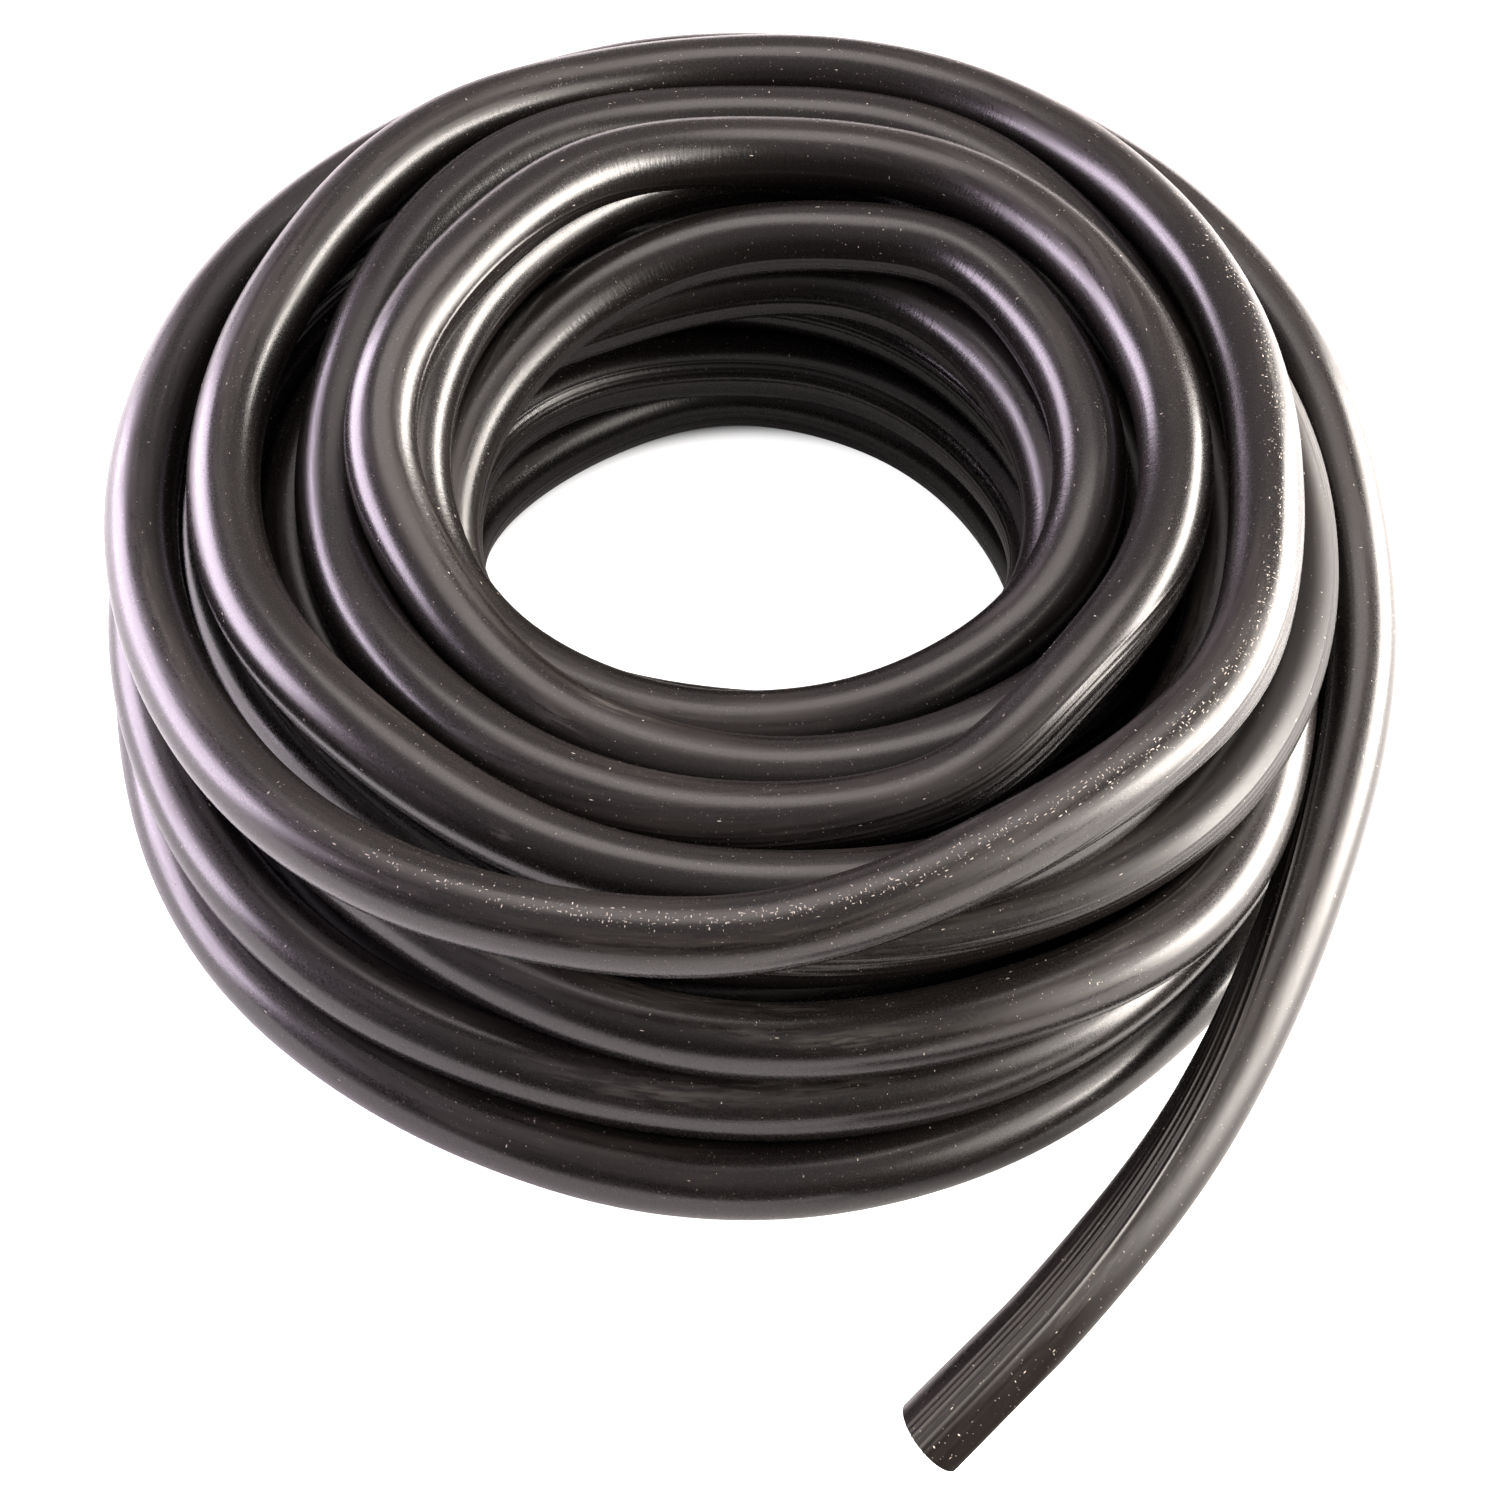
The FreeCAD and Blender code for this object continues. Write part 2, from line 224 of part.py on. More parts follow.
for row, (name, value, note) in enumerate(DIMENSIONS, start=2):
    sheet.set("A%d" % row, name)
    sheet.set("B%d" % row, str(value))
    sheet.set("C%d" % row, note)
    sheet.setAlias("B%d" % row, name)
doc.recompute()


def dim(alias):
    return float(sheet.get(alias))


# ---------------------------------------------------------------- centreline
STEPS_PER_SPAN = 24     # chords per spline span when measuring path length
SHORTEST_SPAN = 0.35    # least spline parameter between a cut and the next arc joint
STRAIGHT_SINE = 1e-6    # a chord this close to both tangents is a line
STRAIGHT_ANGLE = 1e-5   # a half arc turning less than this (radians) is a line
PARALLEL_LIMIT = 1e-9   # below this the two tangents count as parallel


def spline(parameter):
    """Point and unit tangent at a spline parameter, 1 to len(CONTROL) - 2."""
    span = min(int(parameter), len(CONTROL) - 3)
    t = parameter - span
    point_weights = ((1 - t) ** 3 / 6.0, (3 * t ** 3 - 6 * t * t + 4) / 6.0,
                     (-3 * t ** 3 + 3 * t * t + 3 * t + 1) / 6.0, t ** 3 / 6.0)
    slope_weights = (-(1 - t) ** 2 / 2.0, (9 * t * t - 12 * t) / 6.0,
                     (-9 * t * t + 6 * t + 3) / 6.0, t * t / 2.0)
    point, tangent = V(), V()
    for i in range(4):
        control = CONTROL[span - 1 + i]
        point = point + control * point_weights[i]
        tangent = tangent + control * slope_weights[i]
    return point, tangent.normalize()


# matching lists of spline parameter and path length
parameters = [1.0 + k / float(STEPS_PER_SPAN)
              for k in range((len(CONTROL) - 3) * STEPS_PER_SPAN + 1)]
distances = [0.0]
previous = spline(parameters[0])[0]
for parameter in parameters[1:]:
    current = spline(parameter)[0]
    distances.append(distances[-1] + (current - previous).Length)
    previous = current
hose_end = distances[-1]


def parameter_at(distance):
    """Spline parameter at a path length."""
    low, high = 0, len(distances) - 1
    while high - low > 1:
        middle = (low + high) // 2
        if distances[middle] <= distance:
            low = middle
        else:
            high = middle
    return (parameters[low] + (parameters[high] - parameters[low])
            * (distance - distances[low]) / (distances[high] - distances[low]))


def point_at(distance):
    """Point and unit tangent at a path length."""
    return spline(parameter_at(distance))


def half_arc(start, end, tangent, side_sign):
    """Arc from start to end; the tangent is at start (side_sign 1) or at end (-1)."""
    chord = end - start
    direction = V(chord).normalize()
    cosine = max(-1.0, min(1.0, direction.dot(tangent)))
    angle = math.acos(cosine)
    if angle < STRAIGHT_ANGLE:
        return Part.makeLine(start, end)
    side = (tangent - direction * cosine).normalize()
    rise = chord.Length / 2.0 * math.tan(angle / 2.0)
    middle = (start + end) * 0.5 + side * (rise * side_sign)
    return Part.Arc(start, middle, end).toShape()


def biarc(start, start_tangent, end, end_tangent):
    """Two arcs or lines, tangent to each other and to the given end tangents."""
    chord = end - start
    limit = STRAIGHT_SINE * chord.Length
    if chord.cross(start_tangent).Length < limit and chord.cross(end_tangent).Length < limit:
        return [Part.makeLine(start, end)]
    # the arm is the equal tangent length of both arcs, from a quadratic
    a = 2.0 * (1.0 - start_tangent.dot(end_tangent))
    b = 2.0 * chord.dot(start_tangent + end_tangent)
    c = -chord.dot(chord)
    if a < PARALLEL_LIMIT:
        arm = -c / b
    else:
        arm = (-b + math.sqrt(b * b - 4 * a * c)) / (2 * a)
    joint = (start + start_tangent * arm + end - end_tangent * arm) * 0.5
    return [half_arc(start, joint, start_tangent, 1.0),
            half_arc(joint, end, end_tangent, -1.0)]


def path(start, end):
    """Wire of tangent arcs along the centreline between two path lengths."""
    first, last = parameter_at(start), parameter_at(end)
    joints = [first]
    k = math.ceil(first + SHORTEST_SPAN)
    while k < last - SHORTEST_SPAN:
        joints.append(float(k))
        k += 1
    joints.append(last)
    stations = [spline(joint) for joint in joints]
    edges = []
    for near, far in zip(stations[:-1], stations[1:]):
        edges += biarc(*near, *far)
    return Part.Wire(edges)


def axis_rotation(direction):
    """Rotation whose local Z is the direction, X is level and Y points upwards."""
    z = V(direction).normalize()
    x = V(0, 0, 1).cross(z).normalize()
    return FreeCAD.Rotation(x, z.cross(x), z, "ZXY")


# ---------------------------------------------------------------- building blocks
WALLS = (("outside", "hose_outer_radius"), ("bore", "hose_bore_radius"))


def cut(name, base, tool):
    result = doc.addObject("Part::Cut", name)
    result.Base = base
    result.Tool = tool
    return result


def hose_length(name, start, end):
    """A ring section carried along the centreline between two path lengths."""
    spine = doc.addObject("Part::Feature", name + "_path")
    spine.Shape = path(start, end)
    spine_edges = ["Edge%d" % (k + 1) for k in range(len(spine.Shape.Edges))]
    point, tangent = point_at(start)
    sweeps = []
    for kind, alias in WALLS:
        ring = doc.addObject("Part::Circle", "%s_%s_section" % (name, kind))
        ring.setExpression("Radius", "Dimensions." + alias)
        ring.Placement = FreeCAD.Placement(point, axis_rotation(tangent))
        sweep = doc.addObject("Part::Sweep", "%s_%s" % (name, kind))
        sweep.Sections = [ring]
        sweep.Spine = (spine, spine_edges)
        sweep.Solid = True
        sweep.Frenet = False
        sweeps.append(sweep)
    return cut(name, *sweeps)


def straight_tube(name, start, axis, height):
    """A straight length of hose; height is a spreadsheet expression."""
    rods = []
    for kind, alias in WALLS:
        rod = doc.addObject("Part::Cylinder", "%s_%s" % (name, kind))
        rod.setExpression("Radius", "Dimensions." + alias)
        rod.setExpression("Height", height)
        rod.Placement = FreeCAD.Placement(start, axis_rotation(axis))
        rods.append(rod)
    return cut(name + "_tube", *rods)


def broken_edge(name, base, face_centre, into_tube):
    """The base with the sharp edge taken off its bore's rim in a square end face."""
    cone = doc.addObject("Part::Cone", name + "_cone")
    cone.setExpression("Radius1", "Dimensions.hose_bore_radius + Dimensions.edge_break * 2")
    cone.setExpression("Radius2", "Dimensions.hose_bore_radius")
    cone.setExpression("Height", "Dimensions.edge_break * 2")
    cone.Placement = FreeCAD.Placement(face_centre - into_tube * dim("edge_break"),
                                       axis_rotation(into_tube))
    return cut(name, base, cone)


# ---------------------------------------------------------------- pieces
def inner_end_tip():
    """Straight length at the inner end, square at both faces."""
    length = dim("inner_tip_length")
    start = point_at(0.0)[0]
    axis = (point_at(length)[0] - start).normalize()
    tube = straight_tube("inner_end_tip", start, axis, "Dimensions.inner_tip_length")
    rim = broken_edge("inner_end_tip_rim", tube, start, axis)
    return broken_edge("inner_end_tip", rim, start + axis * length, axis * -1.0)


def jointed_lengths(names, start, pitch):
    """A row of short lengths with a joint gap behind each."""
    return [hose_length(name, start + i * pitch, start + (i + 1) * pitch - dim("joint_gap"))
            for i, name in enumerate(names)]


def coil_layers(start, end):
    """The five winding layers, with a layer gap between neighbours."""
    names = ["coil_layer_1_bottom", "coil_layer_2", "coil_layer_3", "coil_layer_4",
             "coil_layer_5_top"]
    layer_ends = [dim("layer%d_end" % number) for number in range(1, 5)]
    starts = [start] + layer_ends
    ends = [layer_end - dim("layer_gap") for layer_end in layer_ends] + [end]
    return [hose_length(*layer) for layer in zip(names, starts, ends)]


def tail_tip():
    """Straight last length of the tail, cut on a slant."""
    start = point_at(hose_end - dim("tip_length"))[0]
    end = point_at(hose_end)[0]
    axis = (end - start).normalize()
    tube = straight_tube("tail_tip", start, axis, "Dimensions.tip_length * 2")

    # the upper and outer sides of the tube are left the longer
    up = axis_rotation(axis).multVec(V(0, 1, 0))
    outward = up.cross(axis)
    normal = (axis - up * math.tan(math.radians(dim("tip_cut_angle")))
              - outward * math.tan(math.radians(dim("tip_cut_skew")))).normalize()
    rotation = FreeCAD.Rotation(outward, normal.cross(outward), normal, "ZXY")
    knife = doc.addObject("Part::Box", "tail_tip_knife")
    for side in ("Length", "Width", "Height"):
        knife.setExpression(side, "Dimensions.tip_length * 3")
    half_side = dim("tip_length") * 3 / 2
    corner = end - rotation.multVec(V(half_side, half_side, 0))
    knife.Placement = FreeCAD.Placement(corner, rotation)
    slanted = cut("tail_tip_slanted", tube, knife)
    return broken_edge("tail_tip", slanted, start, axis)


inner_pitch = dim("inner_length_pitch")
inner_count = int(dim("inner_length_count"))
tail_pitch = dim("tail_length_pitch")
tail_count = int(dim("tail_length_count"))
inner_start = dim("inner_tip_length") + dim("inner_tip_gap")
coil_start = inner_start + inner_count * inner_pitch
tail_start = hose_end - dim("tip_length") - tail_count * tail_pitch
# the inner lengths are numbered from the coil back to the inner end
inner_names = ["inner_end_length_%d" % k for k in range(inner_count, 0, -1)]
tail_names = ["tail_length_%02d" % k for k in range(1, tail_count + 1)]

pieces = [inner_end_tip()]
pieces += jointed_lengths(inner_names, inner_start, inner_pitch)
pieces += coil_layers(coil_start, tail_start - dim("joint_gap"))
pieces += jointed_lengths(tail_names, tail_start, tail_pitch)
pieces.append(tail_tip())

# ---------------------------------------------------------------- export
doc.recompute()
for item in doc.Objects:
    if "Invalid" in item.State or "Error" in item.State:
        raise RuntimeError("%s: %s" % (item.Name, item.State))

os.makedirs("parts", exist_ok=True)
for piece in pieces:
    shape = piece.Shape
    if shape.isNull() or not shape.isValid():
        raise RuntimeError("%s: bad shape" % piece.Label)
    if len(shape.Solids) != 1:
        raise RuntimeError("%s: %d solids" % (piece.Label, len(shape.Solids)))
    shape.exportStep("parts/%s.step" % piece.Label)
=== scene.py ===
"""Looks of the soaker hose: one continuous extruded tube laid in a coil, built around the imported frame.

The coil lies flat on the floor round the z axis, in five layers, and runs clockwise seen from above.
Its inner end starts in the bottom layer; its free tail leaves the top and runs off towards -y.
The hose is worked out in mm and turned to metres when a mesh is made; the stage is in metres.
"""
import math

import bpy
import numpy as np
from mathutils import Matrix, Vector


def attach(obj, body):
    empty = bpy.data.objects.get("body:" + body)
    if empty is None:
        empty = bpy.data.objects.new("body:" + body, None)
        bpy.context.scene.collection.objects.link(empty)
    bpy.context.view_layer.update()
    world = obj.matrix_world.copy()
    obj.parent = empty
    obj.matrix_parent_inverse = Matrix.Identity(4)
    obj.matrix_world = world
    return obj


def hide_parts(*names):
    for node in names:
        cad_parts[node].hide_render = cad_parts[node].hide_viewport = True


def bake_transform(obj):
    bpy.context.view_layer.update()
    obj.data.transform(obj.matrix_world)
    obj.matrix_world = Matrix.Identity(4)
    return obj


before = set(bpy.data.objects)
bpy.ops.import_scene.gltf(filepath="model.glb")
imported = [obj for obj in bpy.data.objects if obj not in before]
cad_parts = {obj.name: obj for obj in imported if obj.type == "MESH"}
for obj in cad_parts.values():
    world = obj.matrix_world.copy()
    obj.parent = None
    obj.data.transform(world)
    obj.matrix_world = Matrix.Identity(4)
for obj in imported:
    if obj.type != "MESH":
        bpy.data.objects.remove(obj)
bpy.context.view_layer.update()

# ------------------------------------------------------------------ centreline
# Control points (x, y, z) of the centreline, from the inner end to the tail's cut end, mm:
# the same uniform cubic B-spline the frame is built on.
CONTROL = np.array([
    (-62.66, 8.54, 6.78), (-68.54, 19.65, 8.82), (-73.12, 30.40, 10.44), (-76.22, 40.79, 11.58), (-77.58, 50.86, 12.15),
    (-76.87, 60.66, 12.12), (-73.75, 70.29, 11.57), (-68.39, 79.88, 10.87), (-60.98, 89.26, 10.21), (-51.64, 98.06, 9.67),
    (-40.73, 105.93, 9.45), (-28.64, 112.36, 9.56), (-15.69, 116.60, 9.76), (-2.13, 117.97, 9.75), (11.81, 116.13, 9.43),
    (25.72, 111.35, 9.16), (38.98, 103.83, 9.08), (50.87, 93.57, 9.00), (60.84, 80.81, 8.84), (68.66, 66.25, 8.75),
    (73.85, 50.60, 8.80), (75.62, 34.24, 8.84), (73.95, 17.56, 8.83), (69.37, 1.09, 8.77), (62.41, -14.40, 8.74),
    (53.34, -28.06, 8.78), (42.25, -39.05, 8.79), (29.26, -46.75, 8.78), (14.62, -50.83, 8.79), (-1.25, -51.23, 8.79),
    (-17.74, -48.07, 8.78), (-34.13, -41.49, 8.79), (-49.69, -31.61, 8.79), (-63.77, -18.83, 8.79), (-75.88, -3.82, 8.79),
    (-85.56, 12.68, 8.79), (-92.31, 29.94, 8.78), (-95.53, 47.32, 8.77), (-94.62, 64.33, 8.78), (-89.36, 80.57, 8.79),
    (-80.08, 95.67, 8.79), (-67.42, 109.18, 8.78), (-52.15, 120.63, 8.76), (-35.06, 129.44, 8.77), (-16.80, 135.01, 8.80),
    (1.96, 136.95, 8.81), (20.55, 135.10, 8.80), (38.31, 129.53, 8.79), (54.61, 120.45, 8.78), (68.82, 108.16, 8.79),
    (80.32, 92.99, 8.79), (88.59, 75.36, 8.79), (93.28, 55.81, 8.79), (94.28, 35.02, 8.78), (91.73, 13.79, 8.77),
    (85.80, -6.98, 8.77), (76.59, -26.39, 8.78), (64.19, -43.61, 8.80), (48.92, -57.94, 8.81), (31.27, -68.82, 8.81),
    (11.85, -75.81, 8.80), (-8.60, -78.55, 8.79), (-29.27, -76.77, 8.78), (-49.32, -70.38, 8.79), (-67.91, -59.57, 8.79),
    (-84.30, -44.72, 8.79), (-97.87, -26.44, 8.78), (-108.09, -5.47, 8.79), (-114.48, 17.43, 8.79), (-116.68, 41.44, 8.77),
    (-114.56, 65.65, 8.78), (-108.17, 89.10, 8.80), (-97.61, 110.76, 8.80), (-83.10, 129.66, 8.77), (-65.03, 145.02, 8.77),
    (-44.04, 156.29, 8.80), (-20.96, 163.15, 8.81), (3.29, 165.38, 8.81), (27.75, 162.85, 8.79), (51.48, 155.52, 8.78),
    (73.54, 143.55, 8.78), (93.11, 127.30, 8.79), (109.43, 107.41, 8.78), (121.77, 84.61, 8.78), (129.49, 59.76, 8.78),
    (132.10, 33.80, 8.79), (129.34, 7.81, 8.78), (121.24, -17.12, 8.78), (108.12, -39.93, 8.77), (90.52, -59.68, 8.79),
    (69.19, -75.68, 8.81), (45.06, -87.44, 8.83), (19.14, -94.61, 8.84), (-7.50, -96.98, 8.84), (-33.77, -94.41, 8.84),
    (-58.64, -86.92, 8.83), (-81.13, -74.62, 8.82), (-100.39, -57.76, 8.80), (-115.71, -36.78, 8.78), (-126.62, -12.30, 8.78),
    (-132.95, 14.72, 8.79), (-134.74, 43.09, 8.79), (-131.89, 71.43, 8.79), (-124.13, 98.44, 8.79), (-111.49, 122.99, 8.79),
    (-94.30, 144.18, 8.79), (-73.16, 161.32, 8.78), (-48.81, 173.84, 8.78), (-22.07, 181.36, 8.78), (6.07, 183.64, 8.78),
    (34.59, 180.58, 8.79), (62.34, 172.20, 8.79), (88.19, 158.67, 8.79), (111.01, 140.38, 8.78), (129.73, 117.87, 8.78),
    (143.41, 91.89, 8.79), (151.25, 63.31, 8.78), (152.71, 33.13, 8.79), (147.63, 2.44, 8.80), (136.28, -27.65, 8.78),
    (119.44, -56.02, 8.77), (98.42, -81.62, 8.77), (74.45, -103.14, 8.75), (47.82, -118.64, 8.83), (19.17, -127.25, 8.84),
    (-10.43, -128.64, 8.75), (-40.02, -122.67, 8.83), (-68.60, -110.44, 9.00), (-94.97, -93.48, 9.00), (-117.36, -72.45, 8.82),
    (-133.98, -46.99, 8.74), (-144.93, -17.66, 8.81), (-151.09, 13.95, 9.06), (-152.63, 46.17, 9.66), (-148.98, 77.55, 10.72),
    (-139.91, 106.86, 12.30), (-125.54, 133.11, 14.31), (-106.27, 155.43, 16.55), (-82.74, 173.10, 18.78), (-55.80, 185.57, 20.77),
    (-26.54, 192.48, 22.42), (3.77, 193.67, 23.73), (33.83, 189.11, 24.77), (62.33, 178.98, 25.64), (88.04, 163.58, 26.35),
    (109.91, 143.50, 26.78), (127.08, 119.50, 26.79), (138.81, 92.48, 26.34), (144.59, 63.33, 25.60), (144.21, 32.96, 24.90),
    (137.96, 2.32, 24.59), (126.89, -27.58, 24.91), (112.40, -55.51, 25.69), (94.79, -79.68, 26.36), (73.39, -98.22, 26.38),
    (48.41, -110.64, 25.58), (20.71, -116.85, 24.55), (-8.64, -117.03, 23.99), (-38.31, -111.69, 24.20), (-66.84, -101.38, 24.87),
    (-92.72, -86.61, 25.43), (-114.27, -66.88, 26.06), (-131.08, -42.68, 26.89), (-143.24, -15.50, 27.72), (-150.49, 13.12, 28.35),
    (-151.94, 41.85, 28.62), (-147.07, 69.68, 28.54), (-136.17, 95.74, 28.24), (-119.95, 119.23, 27.80), (-99.38, 139.42, 27.25),
    (-75.48, 155.62, 26.59), (-49.33, 167.23, 25.85), (-22.00, 173.78, 25.15), (5.46, 174.98, 24.70), (32.03, 170.84, 24.64),
    (56.74, 161.66, 24.98), (78.69, 147.96, 25.57), (97.09, 130.38, 26.20), (111.30, 109.61, 26.67), (120.91, 86.45, 26.83),
    (125.82, 61.84, 26.61), (126.10, 36.73, 25.92), (121.88, 12.03, 24.91), (113.16, -11.40, 23.90), (100.00, -32.82, 23.27),
    (82.85, -51.61, 23.07), (62.38, -67.08, 23.24), (39.40, -78.54, 23.68), (14.84, -85.45, 24.23), (-10.27, -87.47, 24.64),
    (-34.89, -84.45, 24.72), (-58.01, -76.44, 24.42), (-78.70, -63.72, 23.94), (-96.15, -46.75, 23.57), (-109.78, -26.23, 23.56),
    (-119.28, -3.16, 23.91), (-124.60, 21.28, 24.52), (-125.72, 45.88, 25.29), (-122.53, 69.50, 26.12), (-114.92, 91.14, 26.83),
    (-102.86, 110.01, 27.20), (-86.61, 125.61, 27.03), (-66.89, 137.74, 26.20), (-44.73, 146.35, 24.77), (-21.19, 151.24, 23.11),
    (2.71, 152.15, 21.56), (25.95, 148.89, 20.35), (47.60, 141.46, 19.53), (66.83, 130.10, 19.00), (82.95, 115.26, 18.64),
    (95.45, 97.59, 18.43), (103.98, 77.88, 18.51), (108.32, 56.99, 19.08), (108.36, 35.79, 20.33), (104.18, 15.10, 22.30),
    (96.09, -4.35, 24.61), (84.44, -21.89, 26.41), (69.62, -36.97, 27.03), (52.26, -49.17, 26.43), (33.12, -58.12, 24.92),
    (13.00, -63.39, 22.82), (-7.32, -64.58, 20.40), (-27.10, -61.43, 18.05), (-45.72, -54.00, 16.37), (-62.61, -42.66, 15.97),
    (-77.30, -27.99, 16.96), (-89.36, -10.72, 18.85), (-98.40, 8.34, 20.91), (-104.03, 28.32, 22.57), (-105.99, 48.31, 23.55),
    (-104.04, 67.38, 23.93), (-98.02, 84.72, 24.10), (-88.04, 99.71, 24.60), (-74.56, 112.00, 25.54), (-58.13, 121.30, 26.49),
    (-39.43, 127.49, 26.89), (-19.34, 130.62, 26.59), (1.13, 130.65, 25.93), (21.01, 127.31, 25.32), (39.45, 120.39, 25.04),
    (55.75, 110.09, 25.16), (69.40, 96.97, 25.58), (80.00, 81.88, 26.11), (87.24, 65.72, 26.52), (90.86, 49.40, 26.65),
    (90.67, 33.67, 26.49), (86.67, 19.10, 26.26), (79.21, 6.00, 26.36), (69.16, -5.63, 26.82), (57.56, -15.80, 26.75),
    (45.08, -24.22, 24.99), (31.99, -30.38, 21.58), (18.32, -33.76, 17.47), (4.13, -34.15, 13.95), (-10.35, -31.64, 12.17),
    (-24.73, -26.44, 12.72), (-38.46, -18.82, 15.35), (-50.88, -8.93, 19.21), (-61.35, 3.02, 23.30), (-69.38, 16.65, 26.77),
    (-74.66, 31.38, 29.06), (-77.06, 46.50, 30.13), (-76.45, 61.22, 30.26), (-72.70, 74.82, 29.82), (-65.89, 86.75, 29.19),
    (-56.23, 96.56, 28.57), (-44.24, 104.07, 28.07), (-30.47, 109.08, 27.56), (-15.60, 111.68, 27.11), (-0.40, 112.14, 26.95),
    (14.38, 110.28, 27.02), (28.14, 105.57, 26.95), (40.54, 98.15, 26.84), (51.35, 88.52, 26.78), (60.33, 77.35, 26.77),
    (67.19, 65.33, 26.77), (71.58, 53.09, 26.77), (73.06, 41.04, 26.85), (71.24, 29.46, 27.25), (65.91, 18.42, 28.13),
    (57.37, 7.85, 29.34), (46.18, -2.28, 30.52), (33.06, -11.79, 31.30), (18.71, -20.26, 31.45), (3.72, -27.02, 31.07),
    (-11.52, -31.19, 30.54), (-26.66, -32.08, 30.18), (-41.36, -29.43, 30.06), (-55.18, -23.30, 30.34), (-67.62, -13.93, 31.13),
    (-78.12, -1.66, 32.43), (-86.20, 13.00, 34.09), (-91.54, 29.32, 35.70), (-93.86, 46.44, 36.89), (-92.86, 63.40, 37.62),
    (-88.22, 79.22, 38.30), (-79.92, 93.06, 39.36), (-68.24, 104.30, 40.69), (-53.80, 112.70, 41.81), (-37.46, 118.33, 42.42),
    (-20.16, 121.19, 42.74), (-2.73, 121.14, 43.08), (14.08, 118.00, 43.51), (29.69, 111.72, 43.91), (43.68, 102.47, 44.17),
    (55.73, 90.60, 44.32), (65.56, 76.61, 44.41), (73.02, 61.08, 44.49), (78.05, 44.73, 44.62), (80.56, 28.31, 44.80),
    (80.39, 12.51, 44.84), (77.25, -2.12, 44.42), (70.75, -15.18, 43.21), (60.80, -26.46, 41.19), (47.62, -35.84, 38.66),
    (31.70, -43.22, 36.12), (13.72, -48.41, 34.10), (-5.54, -51.08, 32.95), (-25.19, -50.81, 32.75), (-44.38, -47.19, 33.22),
    (-62.25, -39.81, 34.03), (-78.09, -28.50, 35.14), (-91.35, -13.51, 36.63), (-101.68, 4.42, 38.26), (-108.67, 24.29, 39.61),
    (-111.84, 45.02, 40.46), (-110.72, 65.60, 41.00), (-105.15, 85.05, 41.57), (-95.20, 102.54, 42.09), (-81.16, 117.44, 42.29),
    (-63.72, 129.38, 41.93), (-43.71, 138.03, 40.96), (-22.07, 143.09, 39.52), (0.25, 144.28, 37.97), (22.28, 141.56, 36.66),
    (43.12, 134.95, 35.80), (62.00, 124.53, 35.47), (78.34, 110.56, 35.64), (91.71, 93.55, 36.17), (101.84, 74.22, 36.91),
    (108.48, 53.40, 37.75), (111.37, 31.96, 38.60), (110.21, 10.76, 39.34), (104.68, -9.41, 39.84), (94.81, -27.86, 40.06),
    (80.87, -43.96, 39.99), (63.36, -57.17, 39.64), (42.92, -66.96, 39.08), (20.34, -72.95, 38.44), (-3.45, -74.89, 37.94),
    (-27.47, -72.62, 37.77), (-50.69, -66.09, 38.04), (-72.15, -55.36, 38.76), (-91.00, -40.65, 39.85), (-106.60, -22.40, 41.06),
    (-118.52, -1.32, 42.00), (-126.41, 21.64, 42.57), (-129.83, 45.46, 42.92), (-128.41, 69.12, 43.26), (-121.96, 91.65, 43.60),
    (-110.52, 112.14, 43.70), (-94.51, 129.83, 43.23), (-74.58, 144.08, 42.01), (-51.65, 154.43, 40.25), (-26.75, 160.62, 38.56),
    (-0.98, 162.44, 37.54), (24.66, 159.60, 37.49), (49.18, 151.98, 38.39), (71.68, 139.69, 40.00), (91.33, 123.07, 41.89),
    (107.38, 102.56, 43.54), (119.17, 78.71, 44.49), (126.27, 52.18, 44.69), (128.73, 23.88, 44.45), (127.31, -4.91, 44.03),
    (122.84, -32.56, 43.58), (115.10, -57.25, 43.37), (102.53, -77.39, 43.72), (84.14, -92.46, 44.39), (60.97, -103.49, 44.38),
    (34.80, -110.76, 43.33), (7.20, -113.26, 41.76), (-20.77, -109.11, 40.78), (-48.45, -98.13, 40.70), (-75.00, -81.45, 41.30),
    (-99.23, -60.23, 42.42), (-119.75, -35.49, 43.78), (-135.23, -8.18, 45.10), (-144.74, 20.71, 46.11), (-147.93, 50.00, 46.63),
    (-144.84, 78.47, 46.58), (-135.69, 104.89, 45.98), (-120.93, 128.21, 45.08), (-101.38, 147.64, 44.24), (-78.17, 162.62, 43.93),
    (-52.46, 172.68, 44.53), (-25.39, 177.42, 46.15), (1.97, 176.70, 48.56), (28.60, 170.71, 51.38), (53.52, 159.80, 54.28),
    (75.90, 144.39, 57.04), (95.02, 124.97, 59.52), (110.37, 102.17, 61.60), (121.68, 76.84, 63.23), (128.72, 50.00, 64.32),
    (131.35, 22.76, 64.71), (129.43, -3.69, 64.21), (122.90, -28.13, 62.76), (111.57, -49.39, 60.38), (95.26, -66.52, 57.45),
    (74.12, -79.15, 54.68), (49.46, -87.95, 52.38), (23.04, -93.22, 50.75), (-3.86, -93.87, 50.52), (-30.22, -89.27, 51.81),
    (-55.17, -79.63, 54.02), (-77.85, -65.64, 56.39), (-97.33, -48.00, 58.34), (-112.68, -27.45, 59.67), (-123.28, -4.79, 60.44),
    (-128.86, 19.08, 60.82), (-129.36, 43.19, 60.96), (-124.94, 66.64, 60.88), (-115.88, 88.58, 60.49), (-102.64, 108.28, 59.79),
    (-85.87, 125.07, 58.78), (-66.31, 138.42, 57.49), (-44.78, 147.90, 56.01), (-22.11, 153.23, 54.59), (0.84, 154.25, 53.65),
    (23.28, 150.87, 53.37), (44.48, 143.09, 53.55), (63.77, 131.08, 53.90), (80.58, 115.17, 54.26), (94.48, 95.98, 54.66),
